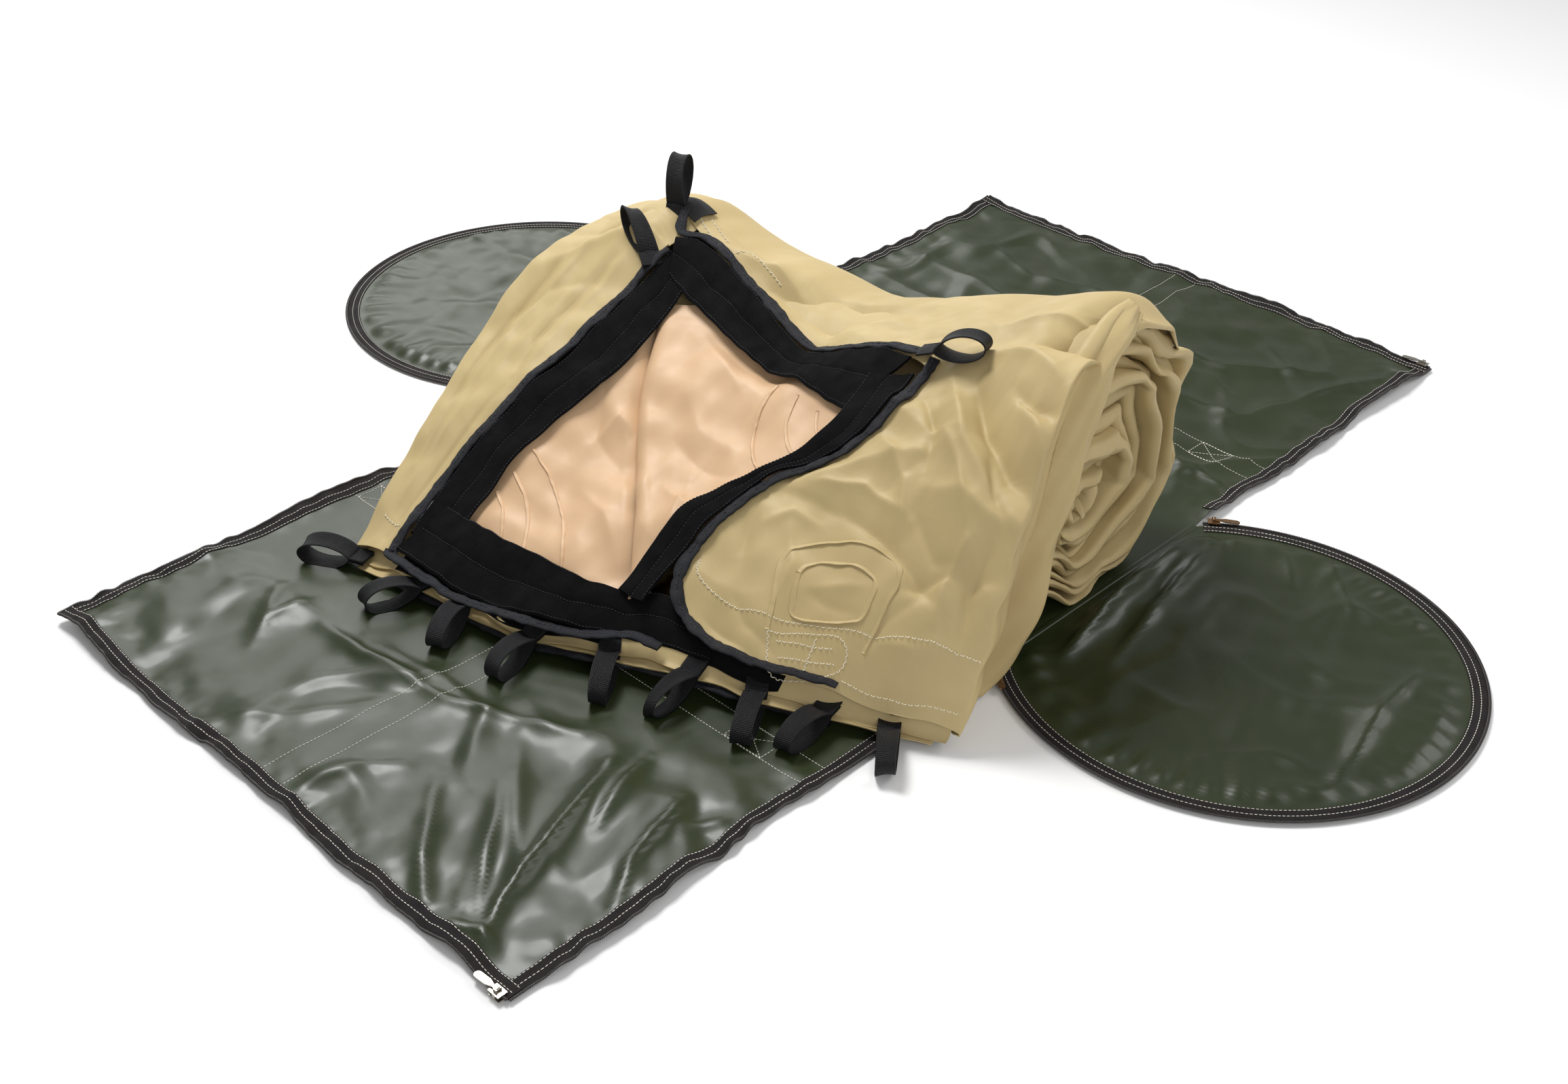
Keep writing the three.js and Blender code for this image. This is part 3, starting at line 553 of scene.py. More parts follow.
# %% How the bag lies
SHEET_UNDER = 0.0021
SHEET_THICK = 0.0012
SHEET_TOP = SHEET_UNDER + SHEET_THICK
swell = ripples(11, 9, 0.55, 0.16)
crinkle = ripples(12, 12, 0.13, 0.045)
edge_sway = ripples(13, 8, 0.36, 0.09)
crease_lines = ripples(14, 7, 0.30, 0.10)
BAG_FOLDS = [
    ([(227, -560), (255, -621), (279, -692), (302, -759), (328, -804)], 15, 13),
    ([(247, -520), (261, -565), (292, -633)], 9, 12),
    ([(320, -540), (331, -574), (350, -640), (380, -690)], 10, 11),
    ([(349, -570), (364, -548), (378, -529)], 5, 9),
    ([(120, -590), (237, -687), (306, -739)], 7, 18),
    ([(-390, -625), (-320, -570), (-246, -530)], 9, 22),
    ([(-236, -665), (-232, -620), (-225, -575)], 10, 16),
    ([(108, -684), (208, -779), (265, -820)], 8, 15),
    ([(-400, -703), (-379, -603), (-290, -540)], 7, 16),
    ([(-210, -700), (-277, -620), (-285, -550)], 8, 15),
    ([(-230, -617), (-107, -628), (-30, -611)], 7, 13),
    ([(-137, -606), (-11, -590), (73, -595)], 7, 12),
    ([(-180, -629), (28, -612), (173, -550)], 6, 14),
    ([(-120, -800), (-60, -730), (-20, -660)], 6, 24),
    ([(30, -800), (50, -740), (90, -690)], 6, 18),
    ([(286, -815), (323, -800), (360, -812)], 8, 10),
    ([(172, -654), (250, -736), (314, -800)], 7, 12),
    ([(-333, 590), (-136, 558), (-18, 536)], 9, 20),
    ([(-382, 499), (-210, 483), (-120, 500)], 7, 18),
    ([(-15, 609), (195, 618), (317, 709)], 9, 20),
    ([(281, 487), (340, 669), (380, 767)], 8, 18),
    ([(60, 420), (150, 500), (300, 520)], 8, 16),
    ([(-300, 700), (-180, 660), (-60, 690)], 7, 22),
    ([(240, 330), (320, 360), (380, 350)], 9, 14),
    ([(300, 300), (340, 400), (392, 470)], 6, 12),
]
bag_folds = fold_field(BAG_FOLDS)
SLIDER_SPOTS = [(0.388, -0.830), (0.388, 0.830)]


def free_of_stretcher(x, y):
    """0 under the stretcher and its loops, 1 where the sheet is free."""
    gap = np.maximum.reduce([hem_y(x) - 0.062 - y, y - 0.230, -0.350 - x])
    return ease(gap / 0.075)


def bag_height(x, y):
    to_edge = np.minimum(BAG_HALF_WIDTH - np.abs(x), BAG_HALF_LENGTH - np.abs(y))
    rolling = 0.0034 * np.maximum(0, swell(x, y) + 0.15) ** 1.2 + 0.0010 * (1 + crinkle(x, y))
    rolling = rolling + 0.0060 * np.maximum(0, 0.75 - np.abs(crease_lines(x + 0.3 * y, 0.6 * y)))
    lifted = 0.0045 * np.maximum(0, edge_sway(x, y)) * np.exp(-to_edge / 0.045)
    puckers = 0.0009 * (1 + crinkle(3 * x, 3 * y)) * np.exp(-to_edge / 0.03)
    height = (rolling + lifted + puckers + np.maximum(0, bag_folds(x, y))) * free_of_stretcher(x, y)
    for sx, sy in SLIDER_SPOTS:
        height = height * ease((np.hypot(x - sx, y - sy) - 0.018) / 0.05)
    return height


def lay_bag(x, y, lift=0.0):
    x, y = np.broadcast_arrays(np.asarray(x, float), np.asarray(y, float))
    free = free_of_stretcher(x, y)
    near_side = np.exp(-(BAG_HALF_WIDTH - np.abs(x)) / 0.07)
    near_end = np.exp(-(BAG_HALF_LENGTH - np.abs(y)) / 0.07)
    sway_x = 0.0030 * edge_sway(y * 1.3, 0.4 * np.sign(x)) * near_side * free
    sway_y = 0.0030 * edge_sway(x * 1.3 + 2, 0.4 * np.sign(y)) * near_end * free
    for sx, sy in SLIDER_SPOTS:
        hold = ease((np.hypot(x - sx, y - sy) - 0.018) / 0.05)
        sway_x, sway_y = sway_x * hold, sway_y * hold
    return np.stack([x + sway_x, y + sway_y, SHEET_TOP + bag_height(x, y) + lift], -1)


def lifts_up(place, x, y):
    """The upward direction of the laid-out cloth at (x, y)."""
    step = 0.002
    across = place(x + step, y) - place(x - step, y)
    along = place(x, y + step) - place(x, y - step)
    normal = np.cross(across, along)
    return normal / np.linalg.norm(normal, axis=-1, keepdims=True)


every_spot = np.meshgrid(np.linspace(-0.4, 0.4, 80), np.linspace(-0.83, 0.83, 160))
print("highest ripple", round(float(bag_height(*every_spot).max()), 4))

# %% [markdown]
# The real sheet is one piece. Here it is cut once, under the roll, into two halves.

# %% The two halves of the sheet
CUT_Y = -0.100
SHEET_STEP = 0.005
SHEET_EDGE = 0.004  # the tape covers the sheet's raw edge


def bend_at(piece, fold):
    """Bakes a piece's placement into its mesh, the same for front and rear pieces."""
    if fold == "front":
        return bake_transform(piece)
    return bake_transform(piece)


def sheet_half(name, y0, y1):
    half = BAG_HALF_WIDTH - SHEET_EDGE
    xs = np.linspace(-half, half, int(2 * half / SHEET_STEP))
    ys = np.linspace(y0, y1, int((y1 - y0) / SHEET_STEP))
    return sheet_piece(name, lay_bag(*np.meshgrid(xs, ys)), SHEET_THICK, green_sheet)


end_y = BAG_HALF_LENGTH - SHEET_EDGE
front_sheet = sheet_half("bag_sheet_front", -end_y, CUT_Y)
rear_sheet = sheet_half("bag_sheet_rear", CUT_Y, end_y)
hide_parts("bag_front_wing")
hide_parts("bag_rear_wing", "bag_floor")
bend_at(front_sheet, "front")
bend_at(rear_sheet, "rear")
print("sheet halves", len(front_sheet.data.vertices), len(rear_sheet.data.vertices), "points")

# %% [markdown]
# ## Webbing under the sheet
# One strap runs the whole length and two cross it. They carry the closed bag. From above only
# their white stitching shows, so the straps are plain woven bands under the sheet and each gets
# two rows of stitches on top, with a boxed cross where an end is sewn down hard.

# %% Straps
STRAP_HALF = 0.020
STRAP_THICK = 0.0016


def strap_band(name, x0, x1, y0, y1):
    xs = np.linspace(x0, x1, max(6, int((x1 - x0) / 0.008)))
    ys = np.linspace(y0, y1, max(6, int((y1 - y0) / 0.008)))
    top = lay_bag(*np.meshgrid(xs, ys), -SHEET_THICK - 0.0003)
    return sheet_piece(name, top, STRAP_THICK, webbing)


front_straps = [
    strap_band("lengthwise_strap_front", -STRAP_HALF, STRAP_HALF, -0.822, CUT_Y),
    strap_band("cross_strap_front", -0.392, 0.392, -0.442, -0.402),
]
rear_straps = [
    strap_band("lengthwise_strap_rear", -STRAP_HALF, STRAP_HALF, CUT_Y, 0.822),
    strap_band("cross_strap_rear", -0.392, 0.392, 0.388, 0.428),
]
front_webbing = merged("webbing_front", front_straps)
rear_webbing = merged("webbing_rear", rear_straps)
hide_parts("front_wing_strap", "floor_straps")
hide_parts("rear_wing_straps")
for straps, fold in ((front_webbing, "front"), (rear_webbing, "rear")):
    bend_at(straps, fold)
print("straps laid under the sheet")

# %% [markdown]
# A stitch is a short grain of thread half sunk in the cloth. It could be painted on, but real
# grains catch the light and throw small shadows, so each one is a little mesh in a row.

# %% Stitches over the straps
STITCH = (0.0038, 0.0009, 0.0007)
STITCH_PITCH = 0.0046
ROW = 0.018


def bag_line(points, lift=0.0003, spacing=0.004):
    """A fine line laid on the sheet through flat points (x, y) in metres."""
    flat = []
    for (x0, y0), (x1, y1) in zip(points[:-1], points[1:]):
        steps = max(2, int(math.hypot(x1 - x0, y1 - y0) / spacing))
        t = np.linspace(0, 1, steps)
        flat.append(np.stack([x0 + (x1 - x0) * t, y0 + (y1 - y0) * t], -1))
    flat = np.vstack(flat)
    return lay_bag(flat[:, 0], flat[:, 1], lift)


def stitched(name, lines, place, size=STITCH, pitch=STITCH_PITCH, finish=white_thread):
    spots = [walk_line(line, pitch) for line in lines]
    here = np.vstack([s[0] for s in spots])
    way = np.vstack([s[1] for s in spots])
    up = lifts_up(place, here[:, 0], here[:, 1])
    return grain_rows(name, here, way, up, size, finish)


def box_and_cross(x0, x1, y):
    low, high = y - 0.017, y + 0.017
    ring = [(x0, low), (x1, low), (x1, high), (x0, high), (x0, low)]
    return [ring, [(x0, low), (x1, high)], [(x0, high), (x1, low)]]


front_rows = [[(s * ROW, -0.812), (s * ROW, -0.42)] for s in (-1, 1)]
rear_rows = [[(s * ROW, 0.24), (s * ROW, 0.812)] for s in (-1, 1)]
for s in (-1, 1):
    front_rows.append([(-0.383, -0.422 + s * ROW), (0.383, -0.422 + s * ROW)])
    rear_rows.append([(-0.383, 0.408 + s * ROW), (0.383, 0.408 + s * ROW)])
front_rows += box_and_cross(0.272, 0.326, -0.422) + box_and_cross(-0.378, -0.330, -0.422)
rear_rows += box_and_cross(0.290, 0.336, 0.408) + box_and_cross(-0.336, -0.290, 0.408)
for fold, rows in (("front", front_rows), ("rear", rear_rows)):
    threads = stitched(f"strap_stitches_{fold}", [bag_line(r) for r in rows], lay_bag)
    bend_at(threads, fold)
print("rows of stitches", len(front_rows), len(rear_rows))

# %% [markdown]
# ## Zip round the edges
# A zip half is a woven tape with a nylon coil along its outer edge. It is sewn on with two white
# rows: one at the tape's inner edge, one near its middle. At the corners the end tapes lie over
# the side tapes. The tape is a band across the flat pattern, the coil a row of small links.

# %% Tape, coil and stitches along a flat path
TAPE_THICK = 0.0010
COIL_LINK = (0.0042, 0.0015, 0.0030)
COIL_PITCH = 0.0020
TAPE_PROFILE = np.array(
    [(-17, 0.1), (-16.6, 0.9), (-12, 1.05), (-6, 1.1), (-2, 1.1), (0.4, 1.05), (1.2, 0.7)]
) * MM


def tape_on(name, path, outward, place, raised=None):
    """path and outward are flat points and directions; raised lifts the tape over another one."""
    raised = np.zeros(len(path)) if raised is None else raised
    flat = path[:, None, :] + outward[:, None, :] * TAPE_PROFILE[None, :, 0, None]
    lift = TAPE_PROFILE[None, :, 1] + raised[:, None]
    front = place(flat[..., 0], flat[..., 1], lift)
    tape = sheet_piece(name, front, TAPE_THICK * 0.8, zip_cloth)

    def thread_line(offset):
        spot = path + outward * offset
        return place(spot[:, 0], spot[:, 1], 0.0011 + raised + 0.0002)

    coil_path = path + outward * 0.0018
    coil_line = place(coil_path[:, 0], coil_path[:, 1], 0.0012 + raised)
    here, way = walk_line(coil_line, COIL_PITCH)
    run = run_along(coil_line)
    spots = np.arange(COIL_PITCH / 2, run[-1], COIL_PITCH)[: len(here)]
    side = np.stack([np.interp(spots, run, outward[:, k]) for k in (0, 1)], -1)
    side = np.column_stack([side, np.zeros(len(side))])
    links = grain_rows("links", here, side, np.cross(way, side), COIL_LINK, zip_coil)
    core_out = np.array([0.6, 1.2, 2.0, 2.8, 3.0]) * MM
    core_flat = path[:, None, :] + outward[:, None, :] * core_out[None, :, None]
    core_lift = np.array([1.0, 1.7, 2.0, 1.6, 1.0]) * MM + raised[:, None]
    core = sheet_piece("core", place(core_flat[..., 0], core_flat[..., 1], core_lift), 0.0008, zip_coil)
    threads = stitched("threads", [thread_line(-0.0152), thread_line(-0.0068)], lay_bag)
    return merged(name, [tape, core, links, threads])


def straight(x0, y0, x1, y1, step=0.004):
    count = max(3, int(math.hypot(x1 - x0, y1 - y0) / step))
    t = np.linspace(0, 1, count)[:, None]
    return np.array([x0, y0]) + t * np.array([x1 - x0, y1 - y0])


def constant(direction, path):
    return np.tile(np.array(direction, float), (len(path), 1))


SEAM_ENDS = {"right": (-0.1414, 0.2574), "left": (-0.0277, 0.1677)}
zips = {}
for end, sign in (("front", -1), ("rear", 1)):
    path = straight(-BAG_HALF_WIDTH, sign * BAG_HALF_LENGTH, BAG_HALF_WIDTH, sign * BAG_HALF_LENGTH)
    over_side = 0.0011 * ease((np.abs(path[:, 0]) - 0.372) / 0.008)
    band = tape_on(f"{end}_zip_tape", path, constant((0, sign), path), lay_bag, over_side)
    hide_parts(f"{end}_zip")
    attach(band, f"{end}_wing")
    zips[end] = band
for side, sign in (("right", 1), ("left", -1)):
    seam_front, seam_rear = SEAM_ENDS[side]
    x = sign * BAG_HALF_WIDTH
    front_path = straight(x, -BAG_HALF_LENGTH, x, seam_front - 0.004)
    rear_path = straight(x, max(seam_rear + 0.006, 0.288), x, BAG_HALF_LENGTH)
    front_band = tape_on(f"front_{side}_zip_tape", front_path, constant((sign, 0), front_path), lay_bag)
    rear_band = tape_on(f"rear_{side}_zip_tape", rear_path, constant((sign, 0), rear_path), lay_bag)
    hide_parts(f"front_wing_{side}_zip", f"floor_{side}_zip")
    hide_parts(f"rear_wing_{side}_zip")
    bend_at(front_band, "front")
    bend_at(rear_band, "rear")
    zips[f"front_{side}"], zips[f"rear_{side}"] = front_band, rear_band
print("zip tapes", sorted(zips))

# %% [markdown]
# ## Round end flaps
# Each flap is a disc cut off by its seam. It closes one end of the rolled bag. The right flap is
# pulled by the roll, so long folds swoop along its seam, and the tape gathers its rim into small
# puckers.

# %% Flap patterns
FLAPS = {  # side: sign, radius, seam to centre, y of the centre
    "right": (1, 0.270, 0.182, 0.058),
    "left": (-1, 0.274, 0.256, 0.070),
}
SEAM_X = 0.3953
FLAP_FOLDS = {
    "right": [
        ([(412, 215), (416, 127), (432, 7), (446, -80)], 24, 14),
        ([(440, 225), (455, 127), (492, -58)], 14, 14),
        ([(740, 191), (745, 80), (776, -84)], 9, 13),
        ([(503, 283), (560, 214)], 5, 14),
        ([(561, 294), (628, 224)], 5, 14),
        ([(507, -102), (535, 6), (505, 146)], 7, 30),
        ([(640, -120), (700, -60), (760, -50)], 5, 16),
        ([(600, 120), (680, 90), (760, 140)], 4, 18),
        ([(560, -160), (600, -60), (590, 60)], 4, 25),
    ],
    "left": [
        ([(-760, -60), (-640, 40), (-520, 60)], 7, 24),
        ([(-800, 120), (-700, 150), (-560, 130)], 6, 20),
        ([(-620, -140), (-560, -60), (-480, -20)], 7, 18),
        ([(-700, 260), (-600, 220), (-500, 240)], 6, 18),
    ],
}
flap_swell = ripples(21, 8, 0.42, 0.14)
flap_crinkle = ripples(22, 12, 0.11, 0.04)


def flap_layer(side):
    sign, radius, reach, middle = FLAPS[side]
    centre = sign * (SEAM_X + 0.0003 + reach)
    folds = fold_field(FLAP_FOLDS[side])

    def place(x, y, lift=0.0):
        x, y = np.broadcast_arrays(np.asarray(x, float), np.asarray(y, float))
        away = np.hypot(x - centre, y - middle)
        to_rim = radius - away
        angle = np.arctan2(y - middle, x - centre)
        from_seam = np.abs(x) - SEAM_X
        seamed = ease(from_seam / 0.030)
        near_rim = np.exp(-np.maximum(to_rim - 0.030, 0) / 0.02)
        puckers = 0.0030 * (1 + np.sin(46 * angle + 3 * np.sin(5 * angle))) * near_rim
        height = 0.0030 * np.maximum(0, flap_swell(x, y) + 0.2) + 0.0009 * (1 + flap_crinkle(x, y))
        height = height + 0.0040 * np.maximum(0, 0.75 - np.abs(crease_lines(0.8 * x + 0.5 * y, y)))
        height = height + np.maximum(0, folds(x, y)) * ease((to_rim + 0.004) / 0.045)
        height = (height + puckers) * ease((to_rim - 0.016) / 0.030)
        held = ease((np.hypot(x - sign * 0.4087, np.abs(y - middle) - 0.2132) - 0.016) / 0.035)
        return np.stack([x, y, SHEET_TOP + height * seamed * held + lift], -1)

    return place


def flap_grid(side, columns=92, rows=104):
    """Rows of points from the seam, or the near rim, to the far rim."""
    sign, radius, reach, middle = FLAPS[side]
    r = radius - SHEET_EDGE
    turn = np.linspace(-np.pi / 2 * 0.995, np.pi / 2 * 0.995, rows)
    dy = r * np.sin(turn)
    far = r * np.cos(turn)
    near = np.maximum(-far, -reach)
    share = np.linspace(0, 1, columns)
    out = near[:, None] + (far - near)[:, None] * share[None, :]
    x = sign * (SEAM_X + 0.0003 + reach + out)
    return x, middle + np.broadcast_to(dy[:, None], x.shape)


# %% [markdown]
# A flap is a disc of the same coated cloth, cut off straight where it is sewn to the bag. It is laid as
# rows from the seam to the rim, and its zip follows the rim.

# %% Flap sheets and their zips
SEAM_BEND = 0.015
flap_pieces = {}
for side, (sign, radius, reach, middle) in FLAPS.items():
    place = flap_layer(side)
    disc = sheet_piece(f"{side}_flap_sheet", place(*flap_grid(side)), SHEET_THICK, green_sheet)
    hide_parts(f"{side}_end_flap")
    ends = (sign * SEAM_X, middle, 0), (sign * (SEAM_X + SEAM_BEND), middle, 0)
    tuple(ends[0])
    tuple(ends[1])
    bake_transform(disc)
    seam_angle = math.pi - math.acos(reach / radius) - math.radians(1.2)
    facing = 0 if sign > 0 else math.pi
    angles = facing + np.linspace(-seam_angle, seam_angle, 260)
    centre = sign * (SEAM_X + 0.0003 + reach)
    outward = np.stack([np.cos(angles), np.sin(angles)], -1)
    rim = np.array([centre, middle]) + radius * outward
    band = tape_on(f"{side}_flap_zip_tape", rim, outward, place)
    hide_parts(f"{side}_flap_zip")
    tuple(ends[0])
    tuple(ends[1])
    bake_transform(band)
    flap_pieces[side] = (disc, band)
print("flaps", list(flap_pieces))

# %% [markdown]
# The seam that joins a flap to the bag is a plain overlap with one row of stitches, so a narrow
# green welt runs along it.

# %% Seam welts
for side, (sign, radius, reach, middle) in FLAPS.items():
    half = math.sqrt(radius**2 - reach**2) - 0.006
    ys = np.linspace(middle - half, middle + half, 120)
    offsets = np.array([-6, -5.4, -3, 0, 2, 2.4]) * MM
    lifts = np.array([0.0, 0.7, 0.9, 0.9, 0.8, 0.1]) * MM
    x = sign * (SEAM_X + offsets)[None, :] + np.zeros((len(ys), 1))
    y = ys[:, None] + np.zeros((1, len(offsets)))
    points = np.stack([x, y, SHEET_TOP + lifts[None, :] + np.zeros_like(x)], -1)
    welt = sheet_piece(f"{side}_seam_welt", points, 0.0006, green_sheet)
    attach(welt, "bag_floor")
print("seam welts sewn")

# %% [markdown]
# ## The roll
# A rolled sheet is a spiral. Its turns are loose: at the open right end each one stands apart,
# rounded over like a pillow's edge, and the turns kink together where the roll was squeezed. We
# sweep a spiral along the roll's axis, give each turn its own thickness and end, and bend the
# whole space a little so that neighbours crumple together and never cross.

# %% Spiral of loose turns
TURNS = 10.5
PER_TURN = 96
PITCH_SHARE = 1 / TURNS
end_noise = ripples(31, 7, 0.9, 0.16)
puff_noise = ripples(32, 8, 0.8, 0.13)
crumple_y = ripples(33, 7, 0.20, 0.075)
crumple_z = ripples(34, 7, 0.20, 0.075)
skin_noise = ripples(35, 10, 0.30, 0.07)


def spiral_turns():
    count = int(TURNS * PER_TURN) + 1
    to_go = np.linspace(TURNS, -0.07, count)  # turns left before the crest
    angle = np.pi / 2 - 2 * np.pi * to_go  # from +Y towards +Z
    ratio = np.where(to_go < 0.5, 1.0, 1 - (to_go - 0.5) / (TURNS - 0.5) * 0.93) - 0.012 * (to_go < 0.2)
    run = ratio * 0.17 * (-2 * np.pi * to_go)  # arc length, for the noise
    frontness = np.clip(-np.cos(angle), 0, 1)
    rim = np.array([0, 0.0012, 0.003, 0.006, 0.010, 0.015, 0.022, 0.032, 0.046])
    body = np.linspace(0.062, 0.655, 17)
    stations = np.concatenate([rim, body, 0.715 - rim[::-1]]) / 0.715
    right_end = 0.382 + 0.010 * end_noise(run, 0.3) + 0.010 * frontness * (ratio > 0.8)
    right_end = np.minimum(right_end, 0.391)
    left_end = -0.333 + 0.006 * end_noise(run, 1.7)
    x = right_end[:, None] + (left_end - right_end)[:, None] * stations[None, :]
    from_right = right_end[:, None] - x
    from_left = x - left_end[:, None]
    height, width = roll_height(x), roll_width(x)
    gap = height * PITCH_SHARE
    puff = np.clip(0.86 + 0.20 * puff_noise(run[:, None], x * 0.6), 0.42, 1.0) * gap
    rounding = np.minimum(from_right, from_left) / (0.5 * np.maximum(puff, 0.004))
    round_off = np.sqrt(np.clip(1 - (1 - np.clip(rounding, 0, 1)) ** 2, 0.0004, 1))
    thick = np.minimum(puff, 0.019) * round_off
    middle = ratio[:, None] * height - 0.5 * np.minimum(puff, 0.019)
    middle = np.maximum(middle, 0.004)

    def surface(offset):
        reach = (middle + offset) / height
        openness = np.exp(-np.minimum(from_right, from_left) / 0.14)
        wave = np.sin(3.5 * angle[:, None] + 0.9 * np.sin(2 * angle[:, None]) + 5.0 * x)
        kink = 0.065 * np.abs(wave) ** 0.8 * openness
        reach = reach * (1 - kink)
        y = roll_y(x) + width * reach * np.cos(angle)[:, None]
        z = REST_Z + height + height * reach * np.sin(angle)[:, None]
        inner = 1 - np.clip(reach, 0, 1)
        z = z - 0.30 * height * inner * openness
        y = y - 0.20 * height * inner * openness
        crumple = 0.0085 * (0.2 + 0.8 * openness)
        y = y + crumple * (crumple_y(y + 0.5 * x, z) - 0.4 * np.abs(crumple_z(z, y - 0.9 * x)))
        z = z + crumple * (crumple_z(y, z + 0.6 * x) - 0.4 * np.abs(crumple_y(z, y + 0.9 * x)))
        outer = np.clip((to_go[:, None] < 1.0) * 1.0, 0, 1)
        z = z + 0.002 * outer * skin_noise(run[:, None], x)
        low = REST_Z + 0.0004 + 0.0016 * inner
        z = low + np.where(z - low > 0, z - low, 0.02 * (z - low))
        return np.stack([x, y, np.maximum(z, REST_Z - 0.0006)], -1)

    return surface(0.5 * thick), surface(-0.5 * thick)


roll_outside, roll_inside = spiral_turns()
roll = sheet_piece("rolled_turns", roll_outside, 0, sand_cloth, back=roll_inside)
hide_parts("roll")
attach(roll, "stretcher")
print("roll", len(roll.data.vertices), "points")

# %% [markdown]
# ## One cloth over everything
# The spread end is several layers, but they lie on one another and fold together. So a single
# height function carries the slope, the soft swell of the air caught under it, and every fold
# that can be seen. Panels, bands, bindings and stitches are all laid on it.

# %% Folds of the spread end
COVER_FOLDS = [
    ([(180, -322), (168, -302), (159, -272)], -6, 12),
    ([(180, -250), (253, -240), (307, -241), (349, -248), (410, -257)], -12, 13),
    ([(300, -88), (352, -131), (403, -153), (437, -155)], -24, 18),
    ([(262, -85), (340, -158), (409, -181)], 15, 18),
    ([(367, -105), (416, -128), (445, -150)], 18, 14),
    ([(329, -198), (409, -192), (441, -181)], 14, 16),
    ([(349, -311), (357, -285), (383, -254)], -6, 10),
    ([(181, -380), (216, -378), (250, -374)], -4, 9),
    ([(195, -349), (225, -361), (271, -360)], -4, 9),
    ([(171, -248), (241, -199), (320, -164)], 12, 20),
    ([(355, -265), (388, -238), (450, -208)], -12, 12),
    ([(256, -310), (292, -293), (327, -276)], 4, 9),
    ([(259, -307), (289, -308), (330, -298)], -3, 8),
    ([(275, -115), (308, -175), (280, -217)], -6, 18),
    ([(401, -207), (394, -243), (409, -270)], 12, 12),
    ([(423, -196), (419, -230), (435, -263)], -12, 11),
    ([(300, -60), (352, -60), (410, -80)], 13, 15),
    ([(330, -40), (380, -20), (408, -30)], -13, 13),
    ([(286, -20), (330, 10), (396, 20)], 10, 14),
    ([(230, -150), (300, -120), (330, -60)], 6, 22),
    ([(-60, -50), (0, -36), (80, -50)], -11, 18),
    ([(-120, -44), (-60, -24), (-10, -30)], 11, 18),
    ([(60, -60), (120, -30), (190, -28)], 8, 24),
    ([(20, -20), (70, -8), (150, 0)], -5, 18),
    ([(-233, -129), (-249, -246), (-238, -285)], -7, 6),
    ([(-232, -300), (-236, -400), (-232, -500)], -5, 5),
    ([(-246, -120), (-266, -260), (-262, -400), (-246, -505)], 4, 9),
    ([(-304, -132), (-314, -246), (-296, -380)], -8, 7),
    ([(-284, -90), (-292, -250), (-276, -420)], 7, 10),
    ([(-220, -110), (-228, -210), (-222, -330)], 3, 7),
    ([(-330, -170), (-270, -110), (-215, -90)], 8, 16),
    ([(-340, -110), (-290, -80), (-230, -66)], -8, 12),
    ([(-330, -250), (-290, -190), (-240, -160)], -5, 12),
    ([(200, -270), (236, -300), (240, -340)], 5, 12),
    ([(330, -215), (372, -232), (404, -226)], -8, 11),
    ([(160, -60), (230, -40), (290, -46)], -7, 18),
    ([(240, -170), (300, -200), (330, -240)], 9, 11),
    ([(256, -120), (300, -150), (318, -190)], -9, 9),
    ([(300, -150), (350, -176), (398, -214)], 9, 8),
    ([(200, -236), (262, -216), (330, -222)], 7, 8),
    ([(180, -286), (200, -262), (236, -258)], 6, 8),
    ([(372, -150), (400, -176), (430, -190)], -9, 8),
    ([(360, -300), (396, -286), (430, -262)], 5, 8),
    ([(410, -100), (432, -130), (436, -170)], -10, 11),
    ([(350, -90), (390, -106), (420, -100)], -12, 11),
]
drape_folds = fold_field(COVER_FOLDS)
drape_swell = ripples(41, 9, 0.30, 0.085)
drape_crinkle = ripples(42, 10, 0.085, 0.030)
drape_creases = ripples(43, 6, 0.21, 0.080)


def cloth_height(x, y):
    crease = drape_folds(x, y)
    loose = 0.25 + 0.75 * ease((x - 0.10) / 0.12) * (0.35 + 0.65 * ease((y + 0.38) / 0.12))
    loose = loose * (1 - 0.8 * np.exp(-((np.hypot(x - 0.288, y + 0.295) / 0.062) ** 2)))
    crease = crease + 0.0070 * loose * (0.55 - np.abs(drape_creases(0.42 * x + 0.15 * y, y)))
    return drape(x, y) + 0.0042 * drape_swell(x, y) + 0.0012 * drape_crinkle(x, y) + crease


def draped(x, y, lift=0.0):
    x, y = np.broadcast_arrays(np.asarray(x, float), np.asarray(y, float))
    return np.stack([x, y, cloth_height(x, y) + lift], -1)


def track(stations, count):
    """A curve through numbered stations, evenly spaced in station number."""
    p = np.asarray(stations, float)
    p = np.vstack([2 * p[0] - p[1], p, 2 * p[-1] - p[-2]])
    t = np.linspace(0, len(p) - 3, count)
    i = np.minimum(t.astype(int), len(p) - 4)
    f = (t - i)[:, None]
    a, b, c, d = p[i], p[i + 1], p[i + 2], p[i + 3]
    return 0.5 * (2 * b + (c - a) * f + (2 * a - 5 * b + 4 * c - d) * f**2 + (3 * b - a - 3 * c + d) * f**3)


def rim_point(x, degrees, reach=1.0):
    """A place on the roll's outside, x in metres."""
    angle = math.radians(degrees)
    h, w = roll_height(x), roll_width(x)
    return x, roll_y(x) + w * reach * math.cos(angle), REST_Z + h + h * reach * math.sin(angle)


# %% [markdown]
# ## The cover
# The outer skin starts at the mouth's edge, rises to the crest and goes over the roll. At its
# right side it turns down and is tucked under. A column of points runs from the mouth to the
# crest or the side; from there a short curve takes it on, over the roll or down to the floor.

